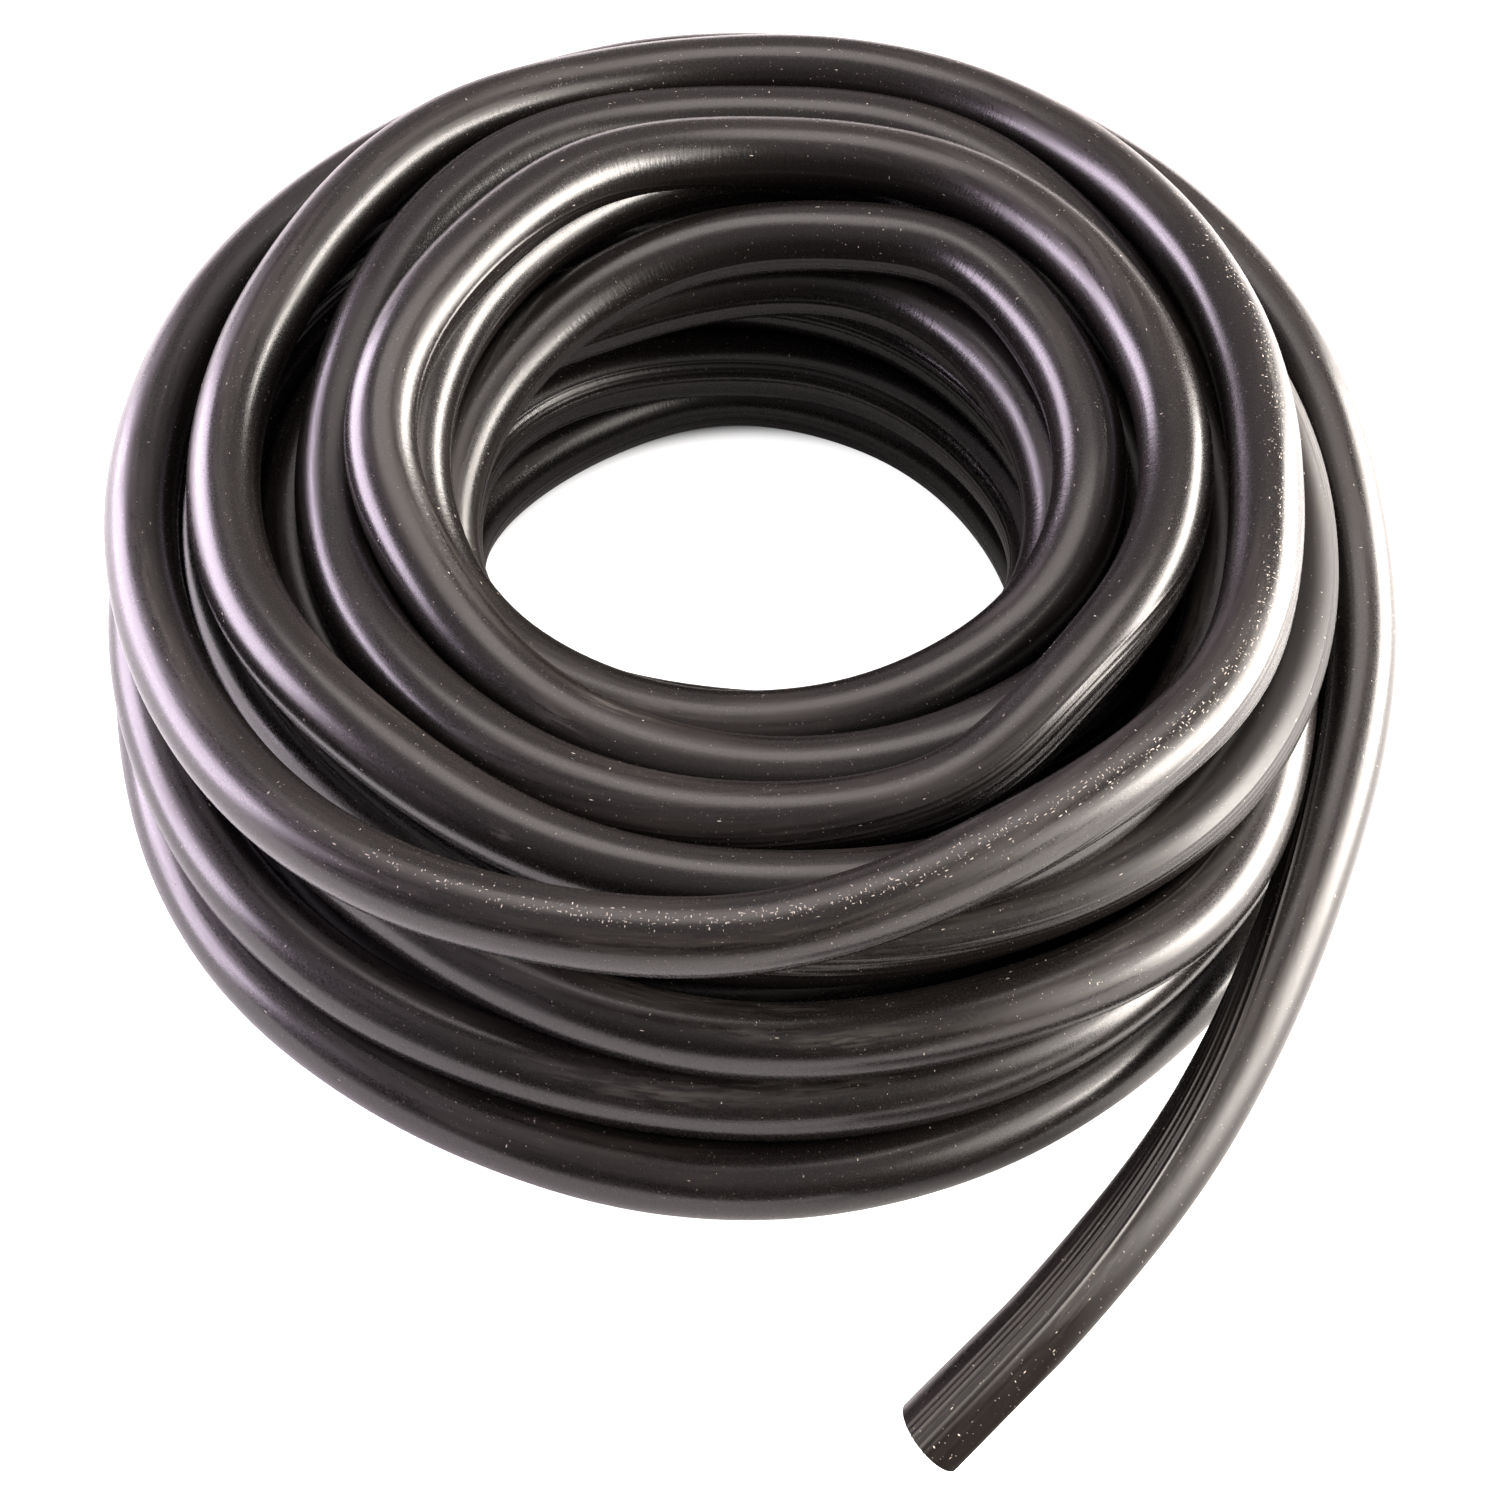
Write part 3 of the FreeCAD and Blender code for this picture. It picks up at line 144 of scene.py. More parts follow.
    (105.06, 74.32, 55.18), (112.00, 51.17, 55.83), (115.05, 27.66, 56.46), (113.83, 4.90, 56.86), (107.89, -16.12, 57.04),
    (97.12, -34.57, 57.18), (81.90, -49.82, 57.31), (62.96, -61.41, 57.29), (41.29, -69.10, 57.00), (17.99, -72.80, 56.41),
    (-5.79, -72.49, 55.76), (-29.01, -68.23, 55.36), (-50.67, -60.14, 55.34), (-69.92, -48.45, 55.56), (-86.06, -33.62, 55.82),
    (-98.58, -16.29, 56.14), (-107.07, 2.81, 56.80), (-111.31, 22.90, 57.73), (-111.32, 43.19, 58.47), (-107.27, 62.87, 58.63),
    (-99.38, 81.19, 58.31), (-87.98, 97.52, 57.94), (-73.55, 111.34, 57.62), (-56.72, 122.32, 57.16), (-38.20, 130.15, 56.35),
    (-18.74, 134.61, 55.18), (0.92, 135.50, 53.83), (20.05, 132.73, 52.37), (38.04, 126.23, 50.89), (54.36, 116.10, 49.60),
    (68.59, 102.65, 48.70), (80.37, 86.38, 48.33), (89.35, 67.97, 48.55), (95.26, 48.28, 49.35), (97.83, 28.24, 50.63),
    (96.72, 8.86, 52.09), (91.62, -8.96, 53.26), (82.45, -24.46, 53.62), (69.46, -37.11, 53.13), (53.27, -46.63, 52.17),
    (34.69, -52.85, 51.25), (14.64, -55.65, 50.77), (-5.93, -54.98, 50.74), (-26.06, -50.86, 50.93), (-44.81, -43.41, 51.07),
    (-61.32, -32.89, 51.13), (-74.88, -19.71, 51.30), (-84.95, -4.48, 51.81), (-91.30, 12.03, 52.75), (-93.95, 28.94, 53.93),
    (-93.12, 45.36, 54.94), (-89.08, 60.47, 55.26), (-82.03, 73.63, 54.65), (-72.21, 84.47, 53.37), (-59.94, 93.08, 52.33),
    (-45.95, 99.99, 52.45), (-30.96, 105.44, 53.91), (-15.44, 109.02, 55.99), (0.12, 110.29, 58.04), (15.12, 109.01, 59.76),
    (29.02, 104.94, 60.98), (41.41, 97.94, 61.64), (52.04, 88.13, 61.87), (60.75, 75.93, 61.90), (67.42, 61.99, 61.92),
    (71.90, 47.13, 61.97), (74.02, 32.21, 61.96), (73.54, 17.98, 61.59), (70.31, 5.07, 60.56), (64.31, -6.09, 58.66),
    (55.82, -15.31, 56.19), (45.18, -22.43, 53.82), (32.76, -27.22, 51.98), (18.97, -29.53, 50.70), (4.32, -29.39, 49.65),
    (-10.59, -27.01, 48.34), (-25.14, -22.78, 46.54), (-38.76, -16.91, 44.81), (-50.92, -9.60, 43.81), (-61.11, -0.99, 43.85),
    (-68.91, 8.75, 44.91), (-73.94, 19.51, 46.93), (-75.94, 31.22, 49.86), (-74.93, 43.67, 53.56), (-71.06, 56.54, 57.68),
    (-64.42, 69.28, 61.78), (-55.08, 81.21, 65.54), (-43.42, 91.54, 69.03), (-29.82, 99.54, 72.17), (-14.88, 104.82, 74.85),
    (0.79, 107.11, 76.76), (16.53, 106.64, 77.95), (31.45, 104.30, 79.22), (44.61, 100.00, 80.59), (55.42, 92.59, 81.22),
    (64.08, 81.73, 81.07), (71.24, 68.20, 80.84), (76.84, 53.01, 80.92), (79.94, 36.90, 80.88), (79.99, 20.66, 80.18),
    (76.89, 5.19, 78.52), (70.45, -8.69, 76.05), (60.76, -20.34, 73.22), (48.24, -29.51, 70.38), (33.87, -36.23, 67.70),
    (18.34, -40.07, 65.43), (2.25, -40.82, 63.52), (-13.80, -38.59, 61.85), (-29.21, -33.48, 60.58), (-43.51, -25.92, 59.80),
    (-56.21, -16.31, 59.80), (-66.75, -4.87, 60.88), (-74.74, 8.21, 63.14), (-80.01, 22.53, 66.30), (-82.06, 37.81, 69.97),
    (-80.55, 53.83, 73.52), (-75.60, 70.28, 76.21), (-67.74, 86.66, 77.40), (-57.19, 102.18, 76.98), (-44.50, 116.06, 75.72),
    (-30.07, 127.29, 74.27), (-14.36, 135.01, 72.95), (2.07, 138.57, 71.64), (18.59, 137.54, 70.32), (34.59, 131.76, 69.11),
    (49.47, 121.38, 68.05), (62.78, 106.94, 67.05), (74.17, 89.32, 66.30), (83.36, 69.59, 66.15), (90.03, 48.91, 66.82),
    (93.77, 28.40, 68.24), (93.97, 8.99, 69.96), (89.97, -8.63, 71.26), (81.55, -24.07, 71.66), (69.04, -37.06, 71.20),
    (53.27, -47.45, 70.26), (35.33, -54.83, 69.20), (16.00, -58.30, 68.61), (-3.69, -57.77, 68.55), (-22.64, -53.36, 69.03),
    (-39.94, -45.44, 70.06), (-54.76, -34.69, 71.76), (-66.49, -21.31, 74.79), (-75.94, -6.49, 78.91), (-83.64, 8.50, 82.98),
    (-88.05, 23.60, 86.53), (-87.94, 39.11, 89.71), (-83.77, 55.00, 92.51), (-75.82, 70.89, 94.41), (-65.24, 86.52, 95.25),
    (-53.35, 101.21, 95.08), (-40.21, 113.42, 93.63), (-25.18, 121.77, 90.78), (-8.39, 126.60, 87.93), (9.53, 128.29, 86.24),
    (27.73, 126.62, 85.82), (45.27, 121.19, 86.21), (61.23, 111.36, 86.60), (75.05, 97.16, 86.82), (86.39, 79.44, 87.19),
    (94.59, 59.23, 87.72), (99.06, 37.71, 88.23), (99.44, 16.19, 88.69), (95.69, -4.11, 89.17), (87.95, -22.26, 89.36),
    (77.33, -38.00, 88.49), (66.03, -51.76, 85.64), (54.68, -63.18, 81.32), (41.24, -70.69, 77.58), (24.45, -74.36, 75.34),
    (4.95, -75.50, 73.98), (-15.86, -73.65, 73.33), (-36.54, -67.59, 73.41), (-55.87, -57.01, 73.75), (-72.81, -42.38, 73.67),
    (-86.29, -24.25, 73.02), (-95.72, -3.41, 72.30), (-100.66, 19.28, 72.34), (-101.16, 43.00, 73.38), (-97.82, 66.81, 74.94),
    (-91.25, 89.64, 76.29), (-81.80, 110.35, 76.97), (-69.59, 127.84, 76.84), (-54.67, 141.27, 75.89), (-37.25, 150.26, 74.22),
    (-17.84, 155.11, 72.37), (2.60, 156.67, 71.38), (22.92, 155.13, 71.74), (42.07, 149.56, 72.75), (59.35, 138.78, 73.27),
    (74.66, 122.65, 73.05), (88.05, 102.00, 72.63), (99.18, 77.96, 72.60), (107.28, 51.84, 73.20), (111.41, 24.94, 74.16),
    (110.96, -1.40, 75.00), (105.89, -25.95, 75.11), (96.35, -47.66, 74.29), (82.68, -65.67, 72.95), (65.39, -79.39, 71.72),
    (44.93, -88.30, 71.45), (21.92, -92.66, 72.27), (-2.33, -93.48, 73.03), (-26.37, -90.28, 73.61), (-49.13, -81.86, 74.82),
    (-70.26, -68.49, 76.57), (-89.66, -51.73, 78.00), (-106.48, -32.78, 78.49), (-118.73, -11.45, 78.45), (-125.10, 12.65, 78.49),
    (-126.41, 38.79, 78.72), (-122.57, 65.76, 78.75), (-114.06, 92.43, 78.63), (-102.29, 117.51, 78.51), (-87.58, 139.24, 77.84),
    (-69.00, 155.90, 75.71), (-46.56, 167.47, 72.96), (-21.63, 174.83, 71.40), (4.25, 177.59, 71.30), (29.67, 174.59, 71.93),
    (53.45, 165.09, 72.81), (74.66, 149.60, 74.48), (92.25, 128.88, 77.12), (105.59, 103.89, 80.48), (114.65, 76.19, 84.29),
    (119.45, 47.37, 87.94), (119.89, 18.73, 90.40), (117.53, -8.41, 91.40), (112.92, -32.54, 91.63), (103.86, -52.55, 91.68),
    (89.28, -68.83, 91.41), (70.69, -83.12, 90.02), (49.46, -95.63, 87.59), (26.67, -105.69, 84.46), (2.80, -111.65, 81.68),
    (-22.38, -111.76, 80.39), (-48.50, -106.84, 79.46), (-74.19, -97.40, 77.81), (-97.54, -82.15, 75.92), (-117.31, -60.77, 74.23),
    (-132.71, -34.25, 72.76), (-143.08, -4.18, 71.32), (-147.16, 28.00, 69.85), (-144.67, 60.76, 68.42), (-136.04, 92.40, 67.00),
    (-121.07, 121.23, 65.25), (-100.51, 146.27, 63.50), (-75.86, 166.82, 62.21), (-48.40, 181.84, 61.20), (-19.30, 190.47, 60.14),
    (10.29, 192.32, 58.94), (39.23, 187.49, 57.68), (66.41, 176.45, 56.50), (90.80, 159.93, 55.47), (111.51, 138.83, 54.53),
    (127.86, 114.16, 53.57), (139.32, 86.97, 52.30), (145.43, 57.93, 50.00), (147.62, 28.16, 46.78), (146.54, -1.03, 42.87),
    (140.76, -28.79, 37.89), (131.86, -55.09, 31.69), (121.37, -79.71, 24.79), (110.01, -102.39, 18.33), (97.31, -122.74, 13.47),
    (83.33, -141.21, 10.57), (68.87, -158.76, 9.30), (53.79, -175.71, 8.80), (38.15, -192.19, 8.74), (22.31, -208.52, 8.84),
], float)
SPAN_STEPS = 24  # points per spline span


def spline_points():
    """Points along the uniform cubic B-spline."""
    u = 1.0 + np.arange((len(CONTROL) - 3) * SPAN_STEPS + 1) / SPAN_STEPS
    span = np.minimum(u.astype(int), len(CONTROL) - 3)
    t = (u - span)[:, None]
    return (
        CONTROL[span - 1] * (1 - t) ** 3 / 6
        + CONTROL[span] * (3 * t**3 - 6 * t**2 + 4) / 6
        + CONTROL[span + 1] * (-3 * t**3 + 3 * t**2 + 3 * t + 1) / 6
        + CONTROL[span + 2] * t**3 / 6
    )


LINE = spline_points()
PATH = np.r_[0.0, np.cumsum(np.linalg.norm(np.diff(LINE, axis=0), axis=1))]
TOTAL = float(PATH[-1])

# lengths along the hose, mm
TIP, INNER_TIP = 34.0, 22.0  # straight cut ends: the tail's and the inner one
PITCH, TAIL_LENGTHS = 30.0, 12  # the frame's tail is a chain of equal lengths
TAIL = TOTAL - TIP - TAIL_LENGTHS * PITCH
R_OUT, R_BORE = 8.75, 6.25
# slopes of the tail's cut, from the underside up and from the coil side outwards
CUT, SKEW = math.tan(math.radians(36.0)), math.tan(math.radians(20.0))


def curve(s):
    return np.column_stack([np.interp(s, PATH, LINE[:, k]) for k in range(3)])


def smooth(x):
    x = np.clip(x, 0, 1)
    return x * x * (3 - 2 * x)


def chord(s0, s1):
    """Point at s0 and the unit direction from there to s1."""
    start, end = curve(np.array([s0, s1]))
    return start, (end - start) / np.linalg.norm(end - start)


INNER_START, INNER_AXIS = chord(0.0, INNER_TIP)
TIP_START, TIP_AXIS = chord(TOTAL - TIP, TOTAL)


def centre(s):
    """Centreline with its two cut ends straight, as in the frame. Each eases in over 10 mm."""
    s = np.asarray(s, float)
    c = curve(s)
    inner = (1 - smooth((s - INNER_TIP + 5) / 10))[:, None]
    c = c * (1 - inner) + (INNER_START + np.outer(s, INNER_AXIS)) * inner
    tip = smooth((s - (TOTAL - TIP) + 5) / 10)[:, None]
    return c * (1 - tip) + (TIP_START + np.outer(s - (TOTAL - TIP), TIP_AXIS)) * tip


def frames(s):
    """Centre, outward, up and tangent at each path length."""
    s = np.asarray(s, float)
    c = centre(s)
    tangent = centre(s + 0.5) - centre(s - 0.5)
    tangent[s < 1] = INNER_AXIS
    tangent[s > TOTAL - 1] = TIP_AXIS
    tangent /= np.linalg.norm(tangent, axis=1, keepdims=True)
    up = np.array([0, 0, 1.0]) - tangent[:, 2:3] * tangent
    up /= np.linalg.norm(up, axis=1, keepdims=True)
    return c, np.cross(up, tangent), up, tangent


def inward_bend(s):
    """Smoothed curvature towards the coil's middle, 1/mm."""
    _, outward, _, tangent = frames(s)
    bend = -(np.gradient(tangent, s, axis=0) * outward).sum(1)
    return np.convolve(bend, np.ones(7) / 7, "same")


BEND_AT = np.arange(0, TOTAL, 4.0)
BEND = inward_bend(BEND_AT)

# ------------------------------------------------------------------ section
# The extrusion has a band of fine lengthwise ribs on one side. (path length, angle of the band's
# first rib round the section in degrees): 0 faces out of the coil, 90 up, 180 into the coil.
BAND = [
    (0, 535), (1500, 560), (2200, 640), (2951, 640), (3336, 640), (5200, 500), (8700, 470),
    (9030, 355), (9087, 347), (9147, 345), (9300, 420), (10000, 535), (10837, 535), (10983, 535),
    (11225, 536), (11290, 536), (11772, 538), (11832, 542), (12307, 525), (12363, 525),
    (12540, 630), (12684, 732), (12726, 722), (12859, 660), (13073, 630), (13292, 670),
    (13386, 665), (13443, 655), (13680, 630), (13932, 640), (14110, 690), (14175, 716),
    (14211, 698), (14264, 660), (14533, 630), (14833, 560), (15021, 520), (15068, 508),
    (15105, 490), (15165, 458), (15226, 434), (15270, 425), (15300, 422),
]
BAND_AT = np.arange(-100, TOTAL + 100, 5.0)
WINDOW = np.hanning(13)
BAND_ANGLE = np.convolve(
    np.pad(np.interp(BAND_AT, *np.array(BAND, float).T), 6, "edge"), WINDOW / WINDOW.sum(), "valid"
)

# ribs: (angle from the first rib, half width, height), degrees and mm
RIBS = [
    (0, 2.5, 0.24), (11, 2.1, 0.03), (19, 2.1, 0.05), (27.5, 2.3, 0.15), (36, 2.1, 0.05),
    (44.5, 2.3, 0.13),
]
DEEP_RIBS = (0, 27.5)  # these two have deeper grooves beside them


def section():
    """Angles round the section (radians) and the rise over the outer radius at each (mm)."""
    points = [(6.5, -0.12), (50.5, -0.02), (-6.5, -0.02)]
    points += [(float(angle), 0.0) for angle in np.linspace(58, 346, 37)]
    for mid, half, height in RIBS:
        groove = -0.16 if mid in DEEP_RIBS else -0.045
        points += [(mid - half, groove), (mid - 0.42 * half, height)]
        points += [(mid + 0.42 * half, height), (mid + half, groove)]
    angles, rises = zip(*sorted(points))
    return np.radians(angles), np.array(rises)


ANGLES, RISE = section()
N_OUT = len(ANGLES)
N_BORE = N_OUT // 2


def wobble(s, b):
    """The tube isn't a perfect cylinder: slow, shallow unevenness, mm."""
    return (
        0.05 * np.sin(s / 37.0 + 1.3) * np.cos(2 * b + s / 410.0)
        + 0.035 * np.sin(s / 13.1 + 2 * b)
        + 0.03 * np.sin(s / 7.3 - 3 * b + 0.7)
        + 0.04 * np.cos(b + s / 91.0)
    )


def relief(s):
    """How fully the ribs stand: worn low in the coil, sharp along the tail."""
    return np.interp(s, [14620, 14780], [0.30, 1.0])


# lint, scuffs, dull marks and one mark of painted shade:
# (path length, angle in degrees, length along, width round, strength); lengths in mm
LINT = [
    (15290, 8, 75, 9.0, 0.12), (14060, 62, 90, 2.2, 0.7), (14140, 70, 60, 2.2, 0.9),
    (14200, 74, 60, 2.3, 1.0), (14270, 78, 50, 2.0, 1.2), (14330, 80, 40, 1.6, 1.0),
    (14375, 82, 30, 1.6, 0.7),
]
SCUFF = [
    (8318, 55, 11, 1.8, 1.1), (8340, 66, 9, 1.2, 0.8), (3690, 60, 22, 2.4, 1.0),
    (3655, 80, 18, 2.0, 0.9), (12200, 108, 7, 1.6, 1.3), (11616, 70, 9, 1.5, 0.9),
    (12211, 52, 7, 1.5, 1.0), (13538, 50, 2.2, 1.0, 1.4), (10015, 15, 2.0, 1.0, 1.2),
    (14393, 28, 1.6, 1.2, 1.2), (8256, 85, 4, 1.4, 1.3), (8351, 118, 34, 3.5, 0.5),
    (9213, 52, 40, 3.5, 0.45), (14335, 35, 55, 3.5, 0.3), (14254, 128, 12, 1.2, 0.9),
    (13354, 118, 30, 2.0, 0.5), (3572, 112, 14, 2.0, 0.6), (14493, 90, 26, 2.2, 0.35),
    (15219, 60, 40, 3.0, 0.35),
]
# the two marks on the tail's tip are dull, darker patches; the third, at 9040, is painted shade: less shine and dust
# where the tail shadows the turn beside it
DULL_AND_SHADE = [(15320, 10, 150, 11.0, 1.35), (15290, 50, 100, 3.5, 0.4), (9040, 62, 62, 9.0, 1.0)]


def marks(s, angle, table):
    """Strength of the listed marks at path length s and angle (radians)."""
    out = np.zeros(s.shape)
    for at, mark_angle, length, width, strength in table:
        if s.max() < at - 3 * length or s.min() > at + 3 * length:
            continue
        turn = (np.degrees(angle) - mark_angle + 180) % 360 - 180
        along = np.exp(-(((s - at) / length) ** 2))
        out += strength * along * np.exp(-((np.radians(turn) * R_OUT / width) ** 2))
    return out


# ------------------------------------------------------------------ a length of hose
def ring_places(s0, s1, step):
    """Path lengths of the rings, with one close to each end to keep the rim crisp."""
    n = max(2, int(math.ceil((s1 - s0) / step)))
    s = np.linspace(s0, s1, n + 1)
    return np.unique(np.r_[s0, s0 + 0.4, s[1:-1], s1 - 0.4, s1])


def wall(s, angles, radius, ribbed, slanted):
    """Points of one wall, their place on the unrolled hose, and their marks."""
    c, outward, up, tangent = frames(s)
    ss = np.broadcast_to(s[:, None], (len(s), len(angles)))
    around = np.broadcast_to(angles[None, :], ss.shape)
    facing = np.radians(np.interp(s, BAND_AT, BAND_ANGLE))[:, None] + around
    r = np.full(ss.shape, radius)
    if ribbed:
        r = radius + (RISE[None, :] * relief(s)[:, None] + wobble(ss, around))
    co = (
        c[:, None, :]
        + (r * np.cos(facing))[..., None] * outward[:, None, :]
        + (r * np.sin(facing))[..., None] * up[:, None, :]
    )
    if slanted:
        # the upper and outer sides are left the longer: stretch them up to the slanted plane
        share = ((s - s[0]) / (s[-1] - s[0]))[:, None]
        stretch = share * r * (np.sin(facing) * CUT + np.cos(facing) * SKEW)
        co = co + stretch[..., None] * tangent[:, None, :]
    # the inside of a tight bend wrinkles
    tight = np.clip((np.interp(s, BEND_AT, BEND)[:, None] - 0.006) / 0.006, 0, 1)
    wrinkled = np.clip(-np.cos(facing), 0, 1) ** 1.5 * tight
    place = np.stack([ss, radius * np.cos(around), radius * np.sin(around)], -1)
    # dull marks, one of them painted shade, travel with the wrinkles, lint and scuffs
    dull = np.clip(marks(ss, facing, DULL_AND_SHADE), 0, 1.15)
    worn = np.stack([wrinkled, marks(ss, facing, LINT), marks(ss, facing, SCUFF), dull], -1)
    return co.reshape(-1, 3), place.reshape(-1, 3), worn.reshape(-1, 4)


def wall_quads(n_rings, n, first, flip):
    """Quads between rings; (outward, up, tangent) is right-handed, so unflipped they face out."""
    i, j = np.meshgrid(np.arange(n_rings - 1), np.arange(n), indexing="ij")
    near, far = first + i * n, first + (i + 1) * n
    corners = [near + j, near + (j + 1) % n, far + (j + 1) % n, far + j]
    return np.stack(corners[::-1] if flip else corners, -1).reshape(-1, 4)


def end_triangles(outer, bore, flip):
    """Ring-shaped end face; the outer rim has two points for each one of the bore's."""
    tris = []
    for k in range(N_BORE):
        o0, o1, o2 = outer + 2 * k, outer + 2 * k + 1, outer + (2 * k + 2) % N_OUT
        b0, b1 = bore + k, bore + (k + 1) % N_BORE
        for f in ((b0, o0, o1), (b0, o1, b1), (b1, o1, o2)):
            tris.append(f[::-1] if flip else f)
    return tris


def add_vectors(mesh, name, kind, field, data):
    att = mesh.attributes.new(name, kind, "POINT")
    att.data.foreach_set(field, data.astype(np.float32).ravel())


def mark_rims_sharp(mesh, n_verts, bore):
    """Sharp edges round both rims of both ends; bore is the bore wall's first vertex."""
    ends = np.zeros(len(mesh.edges) * 2, np.int32)
    mesh.edges.foreach_get("vertices", ends)
    ends = ends.reshape(-1, 2)
    rim = np.zeros(n_verts, np.int8)
    rim[:N_OUT] = 1
    rim[bore - N_OUT:bore] = 2
    rim[bore:bore + N_BORE] = 3
    rim[-N_BORE:] = 4
    sharp = (rim[ends[:, 0]] == rim[ends[:, 1]]) & (rim[ends[:, 0]] > 0)
    att = mesh.attributes.get("sharp_edge") or mesh.attributes.new("sharp_edge", "BOOLEAN", "EDGE")
    att.data.foreach_set("value", sharp)


def tube(name, s0, s1, step=4.0, slanted=False):
    """A closed length of hose: outside, bore and two ring-shaped ends. slanted tilts the far cut."""
    out_s, bore_s = ring_places(s0, s1, step), ring_places(s0, s1, step * 2)
    outside = wall(out_s, ANGLES, R_OUT, True, slanted)
    inside = wall(bore_s, ANGLES[::2], R_BORE, False, slanted)
    co, place, worn = (np.vstack(pair) for pair in zip(outside, inside))
    verts = co / 1000.0
    bore = len(outside[0])
    quads = np.vstack([
        wall_quads(len(out_s), N_OUT, 0, False), wall_quads(len(bore_s), N_BORE, bore, True)
    ])
    tris = end_triangles(0, bore, True) + end_triangles(bore - N_OUT, len(verts) - N_BORE, False)
    nq, nt = len(quads), len(tris)
    loops = np.r_[quads.ravel(), np.array(tris).ravel()].astype(np.int32)
    starts = np.r_[np.arange(nq) * 4, nq * 4 + np.arange(nt) * 3].astype(np.int32)
    slots = np.r_[np.zeros(nq), np.ones(nt)].astype(np.int32)

    mesh = bpy.data.meshes.new(name)
    mesh.vertices.add(len(verts))
    mesh.vertices.foreach_set("co", verts.astype(np.float32).ravel())
    mesh.loops.add(len(loops))
    mesh.loops.foreach_set("vertex_index", loops)
    mesh.polygons.add(nq + nt)
    mesh.polygons.foreach_set("loop_start", starts)
    mesh.update(calc_edges=True)
    mesh.polygons.foreach_set("use_smooth", np.ones(nq + nt, bool))
    mesh.polygons.foreach_set("material_index", slots)
    mark_rims_sharp(mesh, len(verts), bore)
    add_vectors(mesh, "hose_p", "FLOAT_VECTOR", "vector", place)
    add_vectors(mesh, "hose_w", "FLOAT_VECTOR", "vector", worn[:, :3])
    add_vectors(mesh, "hose_dull_and_shade", "FLOAT", "value", worn[:, 3])
    mesh.validate()
    mesh.update()
    obj = bpy.data.objects.new(name, mesh)
    bpy.context.scene.collection.objects.link(obj)
    mesh.materials.append(RUBBER)
    mesh.materials.append(CUT_FACE)
    return obj


# ------------------------------------------------------------------ materials
class Tree:
    """Adds and joins the shader nodes of a material or world."""

    def __init__(self, owner):
        owner.use_nodes = True
        self.tree = owner.node_tree
        self.tree.nodes.clear()

    def node(self, kind, inputs=None, **props):
        n = self.tree.nodes.new(kind)
        for k, v in props.items():
            setattr(n, k, v)
        for k, v in (inputs or {}).items():
            if isinstance(v, bpy.types.NodeSocket):
                self.tree.links.new(v, n.inputs[k])
            else:
                n.inputs[k].default_value = v
        return n

    def math(self, op, a, b=0.0, clamp=False):
        return self.node("ShaderNodeMath", {0: a, 1: b}, operation=op, use_clamp=clamp).outputs[0]

    def plus(self, a, b, clamp=False):
        return self.math("ADD", a, b, clamp)

    def minus(self, a, b, clamp=False):
        return self.math("SUBTRACT", a, b, clamp)

    def times(self, a, b, clamp=False):
        return self.math("MULTIPLY", a, b, clamp)

    def weigh(self, total, *parts):
        """total plus each (value, weight) of the parts."""
        for value, weight in parts:
            total = self.plus(total, self.times(value, weight))
        return total

    def ramp(self, x, lo, hi, start=0.0, end=1.0):
        """Smooth step from start to end as x goes from lo to hi."""
        keys = ("Value", "From Min", "From Max", "To Min", "To Max")
        inputs = dict(zip(keys, (x, lo, hi, start, end)))
        n = self.node("ShaderNodeMapRange", inputs, interpolation_type="SMOOTHSTEP")
        return n.outputs["Result"]

    def scaled(self, point, along, across, turn):
        """along scales the first axis, across the other two."""
        inputs = {"Vector": point, "Scale": (along, across, across), "Rotation": turn}
        return self.node("ShaderNodeMapping", inputs).outputs[0]

    def noise(self, point, along, across, detail=2.0, rough=0.5, turn=(0, 0, 0)):
        vec = self.scaled(point, along, across, turn)
        inputs = {"Vector": vec, "Scale": 1.0, "Detail": detail, "Roughness": rough}
        return self.node("ShaderNodeTexNoise", inputs).outputs["Fac"]

    def specks(self, point, along, across, size, share, turn=(0, 0, 0)):
        """Small round specks of random size, in the given share of the cells."""
        vec = self.scaled(point, along, across, turn)
        v = self.node("ShaderNodeTexVoronoi", {"Vector": vec, "Scale": 1.0, "Randomness": 1.0})
        random = self.node("ShaderNodeSeparateColor", {"Color": v.outputs["Color"]})
        radius = self.times(random.outputs[1], size)
        varies = isinstance(share, bpy.types.NodeSocket)
        floor_value = self.minus(1.0, share) if varies else 1.0 - share
        on = self.math("GREATER_THAN", random.outputs[0], floor_value)
        reach = self.math("DIVIDE", v.outputs["Distance"], self.plus(radius, 0.004))
        near = self.ramp(self.minus(1.0, reach, clamp=True), 0.0, 0.45)
        return self.times(near, on)

    def mix(self, fac, a, b):
        return self.node("ShaderNodeMix", {0: fac, 6: a, 7: b}, data_type="RGBA").outputs[2]

    def bump(self, height):
        inputs = {"Strength": 1.0, "Distance": 0.001, "Height": height}
        return self.node("ShaderNodeBump", inputs).outputs[0]

    def attribute(self, name, output):
        return self.node("ShaderNodeAttribute", attribute_name=name).outputs[output]

    def xyz(self, vector):
        return self.node("ShaderNodeSeparateXYZ", {"Vector": vector}).outputs

    def principled(self, inputs):
        b = self.node("ShaderNodeBsdfPrincipled", inputs)
        self.node("ShaderNodeOutputMaterial", {"Surface": b.outputs[0]})


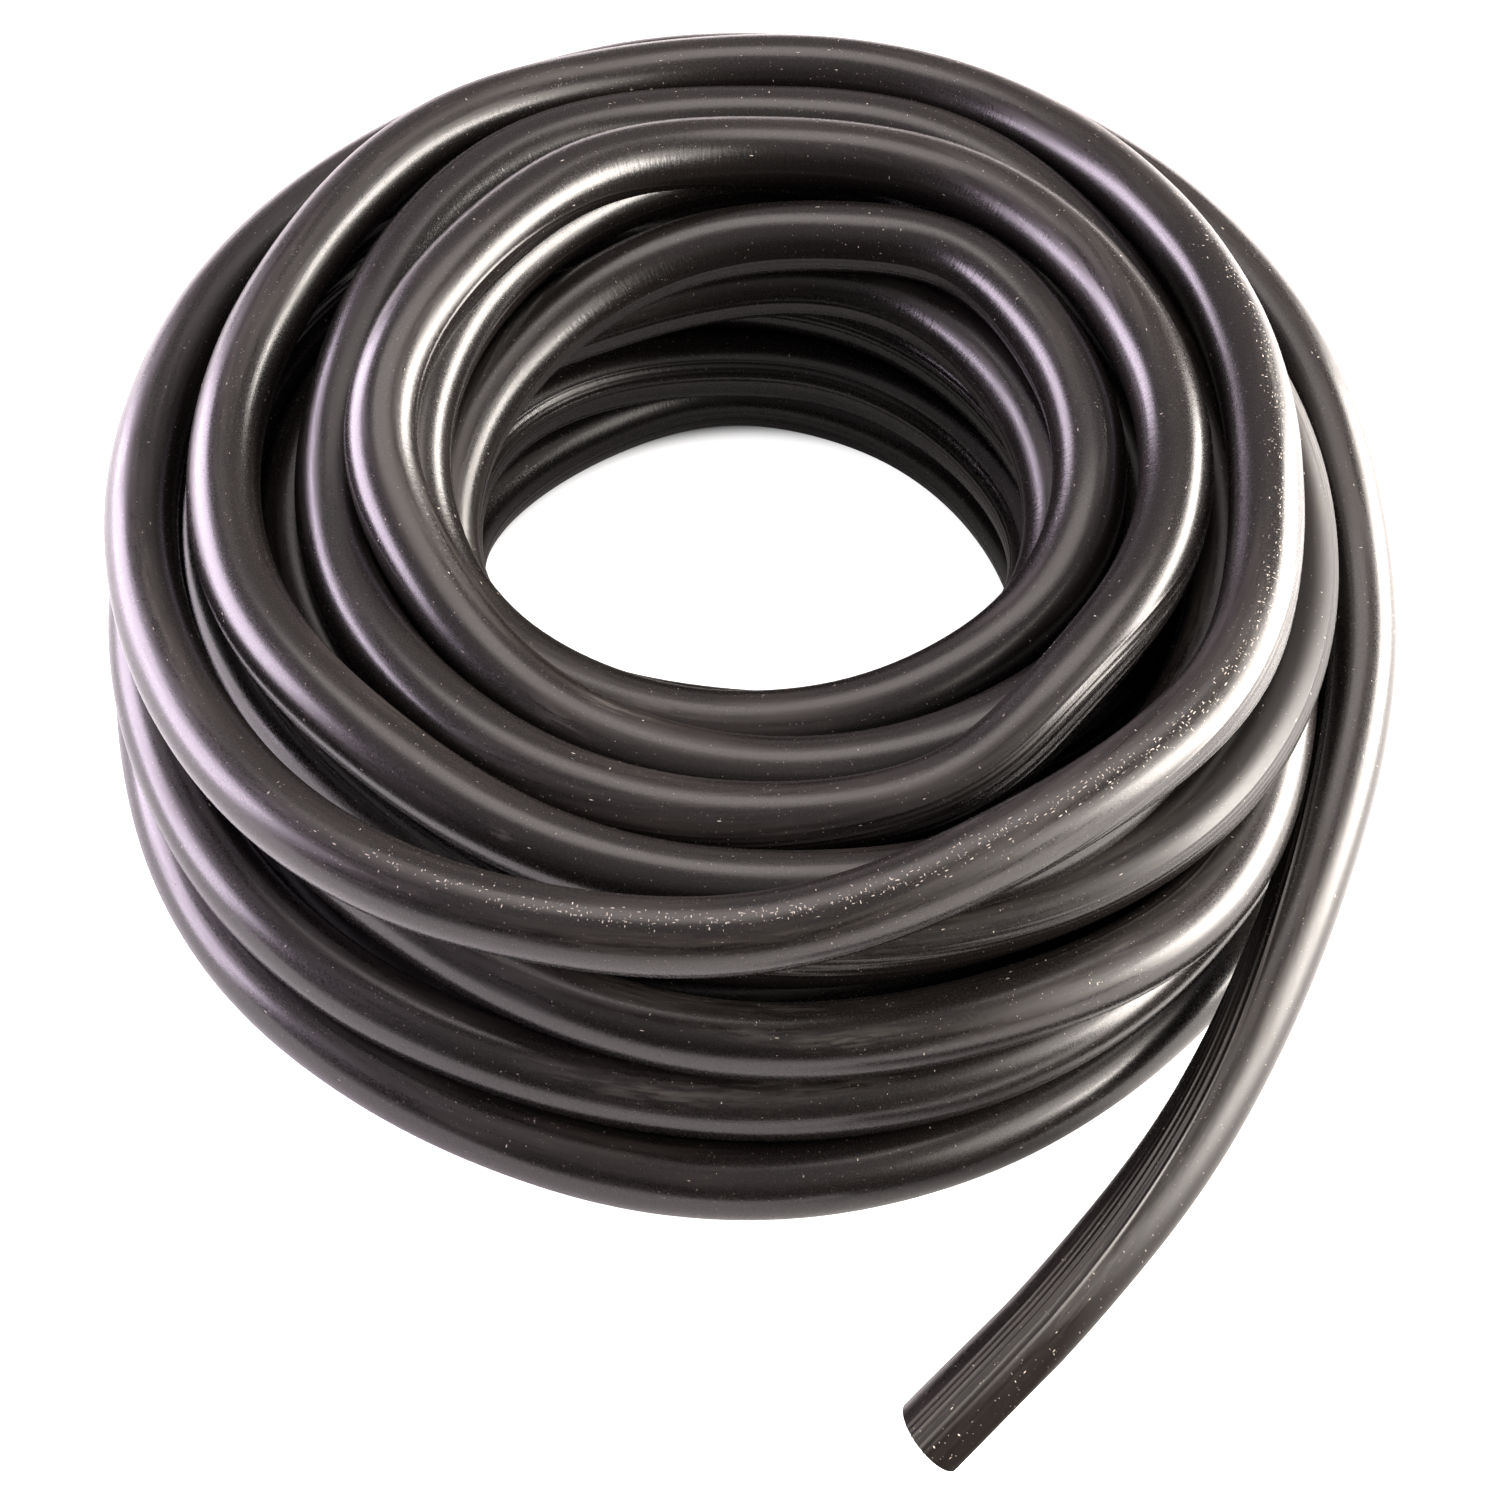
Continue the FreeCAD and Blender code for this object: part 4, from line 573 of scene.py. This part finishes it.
def rubber():
    """Black rubber with dust, lint, scuffs and dull patches (one of them painted shade), read from the tube's
    attributes.
    """
    mat = bpy.data.materials.new("hose_rubber")
    t = Tree(mat)
    p = t.attribute("hose_p", "Vector")
    bend, lint, scuff = t.xyz(t.attribute("hose_w", "Vector"))
    dull = t.attribute("hose_dull_and_shade", "Fac")
    facing_up = t.xyz(t.node("ShaderNodeNewGeometry").outputs["Normal"])[2]
    upward = t.ramp(facing_up, lo=-0.1, hi=0.9)
    # dust film: streaky along the hose, thicker on top
    streak = t.noise(p, along=0.02, across=0.35, detail=5.0, rough=0.6)
    blotch = t.noise(p, along=0.011, across=0.045, detail=3.0, rough=0.55)
    film = t.times(t.ramp(streak, lo=0.35, hi=0.75), t.ramp(blotch, lo=0.36, hi=0.66))
    film = t.times(film, upward)
    fine = t.noise(p, along=1.7, across=1.7, detail=3.0, rough=0.65)
    grit = t.noise(p, along=2.3, across=2.3, rough=0.65)
    grit = t.times(t.ramp(grit, lo=0.52, hi=0.74), upward)
    # specks of dust, round and drawn out two ways, gathering where lint is marked
    patch = t.ramp(blotch, lo=0.42, hi=0.70)
    small = t.specks(p, along=1.5, across=1.5, size=0.24, share=t.plus(t.times(patch, 0.34), 0.14))
    large = t.specks(p, along=0.42, across=0.42, size=0.075, share=0.34)
    strands = [
        t.specks(p, along, across, size=0.38, share=t.plus(t.times(lint, 0.65), 0.008), turn=turn)
        for along, across, turn in ((0.62, 2.1, (0.0, 0.0, 0.7)), (2.0, 0.75, (0.0, 0.0, -0.5)))
    ]
    above = t.ramp(facing_up, lo=-0.35, hi=0.45)
    specks = t.plus(t.plus(t.times(small, 0.65), large), t.plus(*strands), clamp=True)
    specks = t.times(specks, above, clamp=True)
    rub = t.noise(p, along=0.12, across=1.1, detail=4.0, rough=0.6)
    rub = t.times(scuff, t.ramp(rub, lo=0.4, hi=0.65), clamp=True)
    # colour: dust, then scuffs, then specks over the black
    haze = t.weigh(t.times(film, 0.036), (grit, 0.016))
    # dull marks thin the dust; where a mark is painted shade this darkens the colour
    haze = t.times(haze, t.minus(1.0, t.times(dull, 0.5)))
    base = t.mix(t.plus(0.004, haze), (0.0034, 0.0027, 0.0027, 1), (0.38, 0.31, 0.26, 1))
    base = t.mix(t.times(rub, 0.10), base, (0.40, 0.37, 0.33, 1))
    base = t.mix(t.times(specks, 0.55), base, (0.55, 0.49, 0.43, 1))
    # roughness: clean rubber's, plus (layer, how much it adds)
    rough = t.weigh(
        0.225, (film, 0.20), (dull, 0.20), (t.ramp(fine, lo=0.3, hi=0.7), 0.06), (grit, 0.10),
        (rub, 0.15),
    )
    rough = t.plus(rough, t.times(specks, 0.4), clamp=True)
    # relief: extrusion lines, orange-peel grain, wrinkles inside a bend, specks; heights in mm
    lines = t.noise(p, along=0.004, across=2.4, detail=3.0, rough=0.6)
    peel = t.noise(p, along=0.55, across=0.8)
    grain = t.noise(p, along=4.0, across=4.0, rough=0.6)
    wrinkle = t.times(t.noise(p, along=1.25, across=0.30), bend)
    height = t.weigh(
        t.times(lines, 0.010), (peel, 0.012), (grain, 0.007), (wrinkle, 0.09), (specks, 0.03)
    )
    # the shine drops under the dull marks, one of which is painted shade
    t.principled({
        "Base Color": base, "Roughness": rough, "Normal": t.bump(height), "IOR": 1.5,
        "Specular IOR Level": t.minus(0.5, t.times(dull, 0.43)),
    })
    return mat


def cut_face():
    """Knife-cut rubber: dull, fine crumb and faint blade lines."""
    mat = bpy.data.materials.new("hose_cut_face")
    t = Tree(mat)
    p = t.node("ShaderNodeTexCoord").outputs["Object"]
    crumb = t.noise(p, along=2600, across=2600, detail=3.0, rough=0.6)
    blade = t.noise(p, along=5000, across=500, turn=(0.2, 0.4, 0.7))
    pale = t.ramp(crumb, lo=0.55, hi=0.8)
    base = t.mix(pale, (0.016, 0.015, 0.015, 1), (0.06, 0.056, 0.052, 1))
    height = t.weigh(t.times(crumb, 0.06), (blade, 0.03))
    t.principled({"Base Color": base, "Roughness": 0.62, "Normal": t.bump(height)})
    return mat


RUBBER = rubber()
CUT_FACE = cut_face()

# ------------------------------------------------------------------ the hose
HALF, REACH = 15.0, 13.0  # a bend's half length, and a reach from its joint
JOINT_BACK = 0.65  # the tail's joints lie this far before the ends of its lengths
INNER_JOINT = 84.55  # where the inner end joins the coil
BEND_STEP, END_STEP = 2.5, 2.0  # ring spacing


def mid(s):
    return tuple(centre(np.array([s]))[0] / 1000.0)


def coil():
    names = ["1_bottom", "2", "3", "4", "5_top"]
    ends = [INNER_JOINT + HALF, 3336.0, 6200.0, 8600.0, 11120.0, TAIL - JOINT_BACK - HALF]
    for name, start, end in zip(names, ends, ends[1:]):
        node = "coil_layer_" + name
        piece = tube("hose_" + node, start, end)
        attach(piece, "coil")
        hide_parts(node)


def tail():
    """The free tail: round each joint, a piece runs from mid-length to mid-length."""
    lengths = ["tail_length_%02d" % (i + 1) for i in range(TAIL_LENGTHS)]
    bodies = ["coil"] + lengths + ["tail_tip"]
    for i in range(TAIL_LENGTHS + 1):
        s = TAIL + PITCH * i - JOINT_BACK
        piece = tube("hose_tail_bend_%02d" % (i + 1), s - HALF, s + HALF, BEND_STEP)
        if i == TAIL_LENGTHS:
            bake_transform(piece)
        else:
            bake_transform(piece)
            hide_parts(bodies[i + 1])
    start = TOTAL - TIP - JOINT_BACK + HALF
    piece = tube("hose_tail_cut_end", start, TOTAL, END_STEP, slanted=True)
    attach(piece, "tail_tip")
    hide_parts("tail_tip")


def inner_end():
    """From the coil towards the inner cut end."""
    bodies = ["coil", "inner_end_length_1", "inner_end_length_2", "inner_end_tip"]
    edges = [INNER_JOINT + HALF, INNER_JOINT - HALF, 39.1, 9.5]
    for k in range(3):
        start, end = edges[k + 1], edges[k]
        piece = tube("hose_inner_bend_%d" % (k + 1), start, end, BEND_STEP)
        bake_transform(piece)
        if k < 2:
            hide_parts(bodies[k + 1])
    piece = tube("hose_inner_cut_end", 0.0, edges[3], END_STEP)
    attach(piece, "inner_end_tip")
    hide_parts("inner_end_tip")


coil()
tail()
inner_end()

# ------------------------------------------------------------------ stage
scene = bpy.context.scene


def floor_material():
    """Pale floor with painted shadow, a dark ring under the coil, and painted light for reflections."""
    mat = bpy.data.materials.new("floor_pale")
    t = Tree(mat)
    x, y, _ = t.xyz(t.node("ShaderNodeTexCoord").outputs["Object"])
    y = t.minus(y, 0.0326)  # the coil's middle
    away = t.math("SQRT", t.plus(t.math("POWER", x, 2.0), t.math("POWER", y, 2.0)))
    # painted shadow: a dark ring under the coil, with darker colour and no glow
    beyond = t.ramp(away, lo=0.146, hi=0.156)
    ring = t.times(t.ramp(away, lo=0.076, hi=0.084), t.minus(1.0, beyond))
    bare = t.minus(1.0, ring)
    # painted light: reflections see a floor that glows bright to the sides and dim in front and behind, with painted
    # shadow close round the coil
    bearing = t.math("DIVIDE", t.math("ABSOLUTE", x), t.math("MAXIMUM", away, 0.001))
    sides = t.times(
        t.ramp(bearing, lo=0.40, hi=0.88, start=0.015, end=0.85),
        t.ramp(away, lo=0.156, hi=0.176, start=0.04, end=1.0),
    )
    seen = t.node("ShaderNodeLightPath").outputs["Is Camera Ray"]
    # the camera sees an even glow, cut by the painted shadow ring; reflections see the painted side light
    glow = t.plus(t.times(t.times(bare, 0.95), seen), t.times(sides, t.minus(1.0, seen)))
    t.principled({
        "Base Color": t.mix(bare, (0.01, 0.01, 0.01, 1), (0.86, 0.85, 0.85, 1)),
        "Roughness": 0.9, "Specular IOR Level": 0.1,
        "Emission Color": (1, 1, 1, 1), "Emission Strength": glow,
    })
    return mat


def add_floor(half=6):
    mesh = bpy.data.meshes.new("floor")
    corners = [(-half, -half, 0), (half, -half, 0), (half, half, 0), (-half, half, 0)]
    mesh.from_pydata(corners, [], [(0, 1, 2, 3)])
    floor = bpy.data.objects.new("floor", mesh)
    floor.location.z = -0.0003
    scene.collection.objects.link(floor)
    mesh.materials.append(floor_material())
    floor.visible_diffuse = False


def add_world():
    """White to the camera; to the hose, bright overhead, low at the sides and behind."""
    world = bpy.data.worlds.new("studio")
    scene.world = world
    t = Tree(world)
    x, y, z = t.xyz(t.node("ShaderNodeTexCoord").outputs["Generated"])
    overhead = t.ramp(z, lo=0.30, hi=1.0, start=0.05, end=0.6)
    # ABSOLUTE doesn't read its second value
    aside = t.ramp(t.math("ABSOLUTE", x, 0.5), lo=0.45, hi=0.95, end=0.9)
    low = t.ramp(z, lo=-0.05, hi=0.35, start=1.0, end=0.0)
    behind = t.ramp(y, lo=0.30, hi=0.95, end=0.42)
    glow = t.plus(t.plus(overhead, t.times(aside, low)), behind)
    lit = t.node("ShaderNodeBackground", {"Color": (1.0, 0.9, 0.9, 1), "Strength": glow})
    white = t.node("ShaderNodeBackground", {"Strength": 1.3})
    seen = t.node("ShaderNodeLightPath").outputs["Is Camera Ray"]
    both = t.node("ShaderNodeMixShader", {0: seen, 1: lit.outputs[0], 2: white.outputs[0]})
    t.node("ShaderNodeOutputWorld", {0: both.outputs[0]})


def softbox(name, azimuth, elevation, distance, width, height, radiance, colour):
    """A soft area light facing the coil. Azimuth is measured from +X towards +Y."""
    a, e = math.radians(azimuth), math.radians(elevation)
    d = Vector((math.cos(a) * math.cos(e), math.sin(a) * math.cos(e), math.sin(e)))
    light = bpy.data.lights.new(name, "AREA")
    light.shape = "RECTANGLE"
    light.size, light.size_y = width, height
    light.energy = radiance * math.pi * width * height
    light.color = colour
    o = bpy.data.objects.new(name, light)
    o.location = Vector((0, 0, 0.04)) + d * distance
    o.rotation_mode = "QUATERNION"
    o.rotation_quaternion = (-d).to_track_quat("-Z", "Y")
    scene.collection.objects.link(o)


def add_camera():
    cam = bpy.data.cameras.new("camera")
    cam.sensor_width = 36.0
    cam.lens = 89.44
    cam.clip_start, cam.clip_end = 0.01, 50
    eye = bpy.data.objects.new("camera", cam)
    target = Vector((-0.000754, 0.003546, 0.000037))
    eye.location = Vector((-0.000754, -0.574345, 0.73083))
    eye.rotation_mode = "QUATERNION"
    eye.rotation_quaternion = (target - eye.location).to_track_quat("-Z", "Y")
    scene.collection.objects.link(eye)
    scene.camera = eye


add_floor()
add_world()
# (name, azimuth, elevation, distance, width, height, radiance, colour)
for box in (
    ("right_window", 6, 15, 1.3, 2.0, 0.80, 30.0, (1.0, 0.935, 0.87)),
    ("left_window", 162, 16, 1.3, 1.4, 0.72, 18.0, (0.97, 0.82, 1.0)),
    ("right_fill", -30, 34, 1.4, 0.9, 0.8, 5.0, (1.0, 0.93, 0.86)),
    ("overhead", 90, 72, 1.6, 1.2, 0.9, 4.2, (1.0, 0.91, 0.88)),
):
    softbox(*box)
add_camera()
scene.view_settings.view_transform = "Standard"
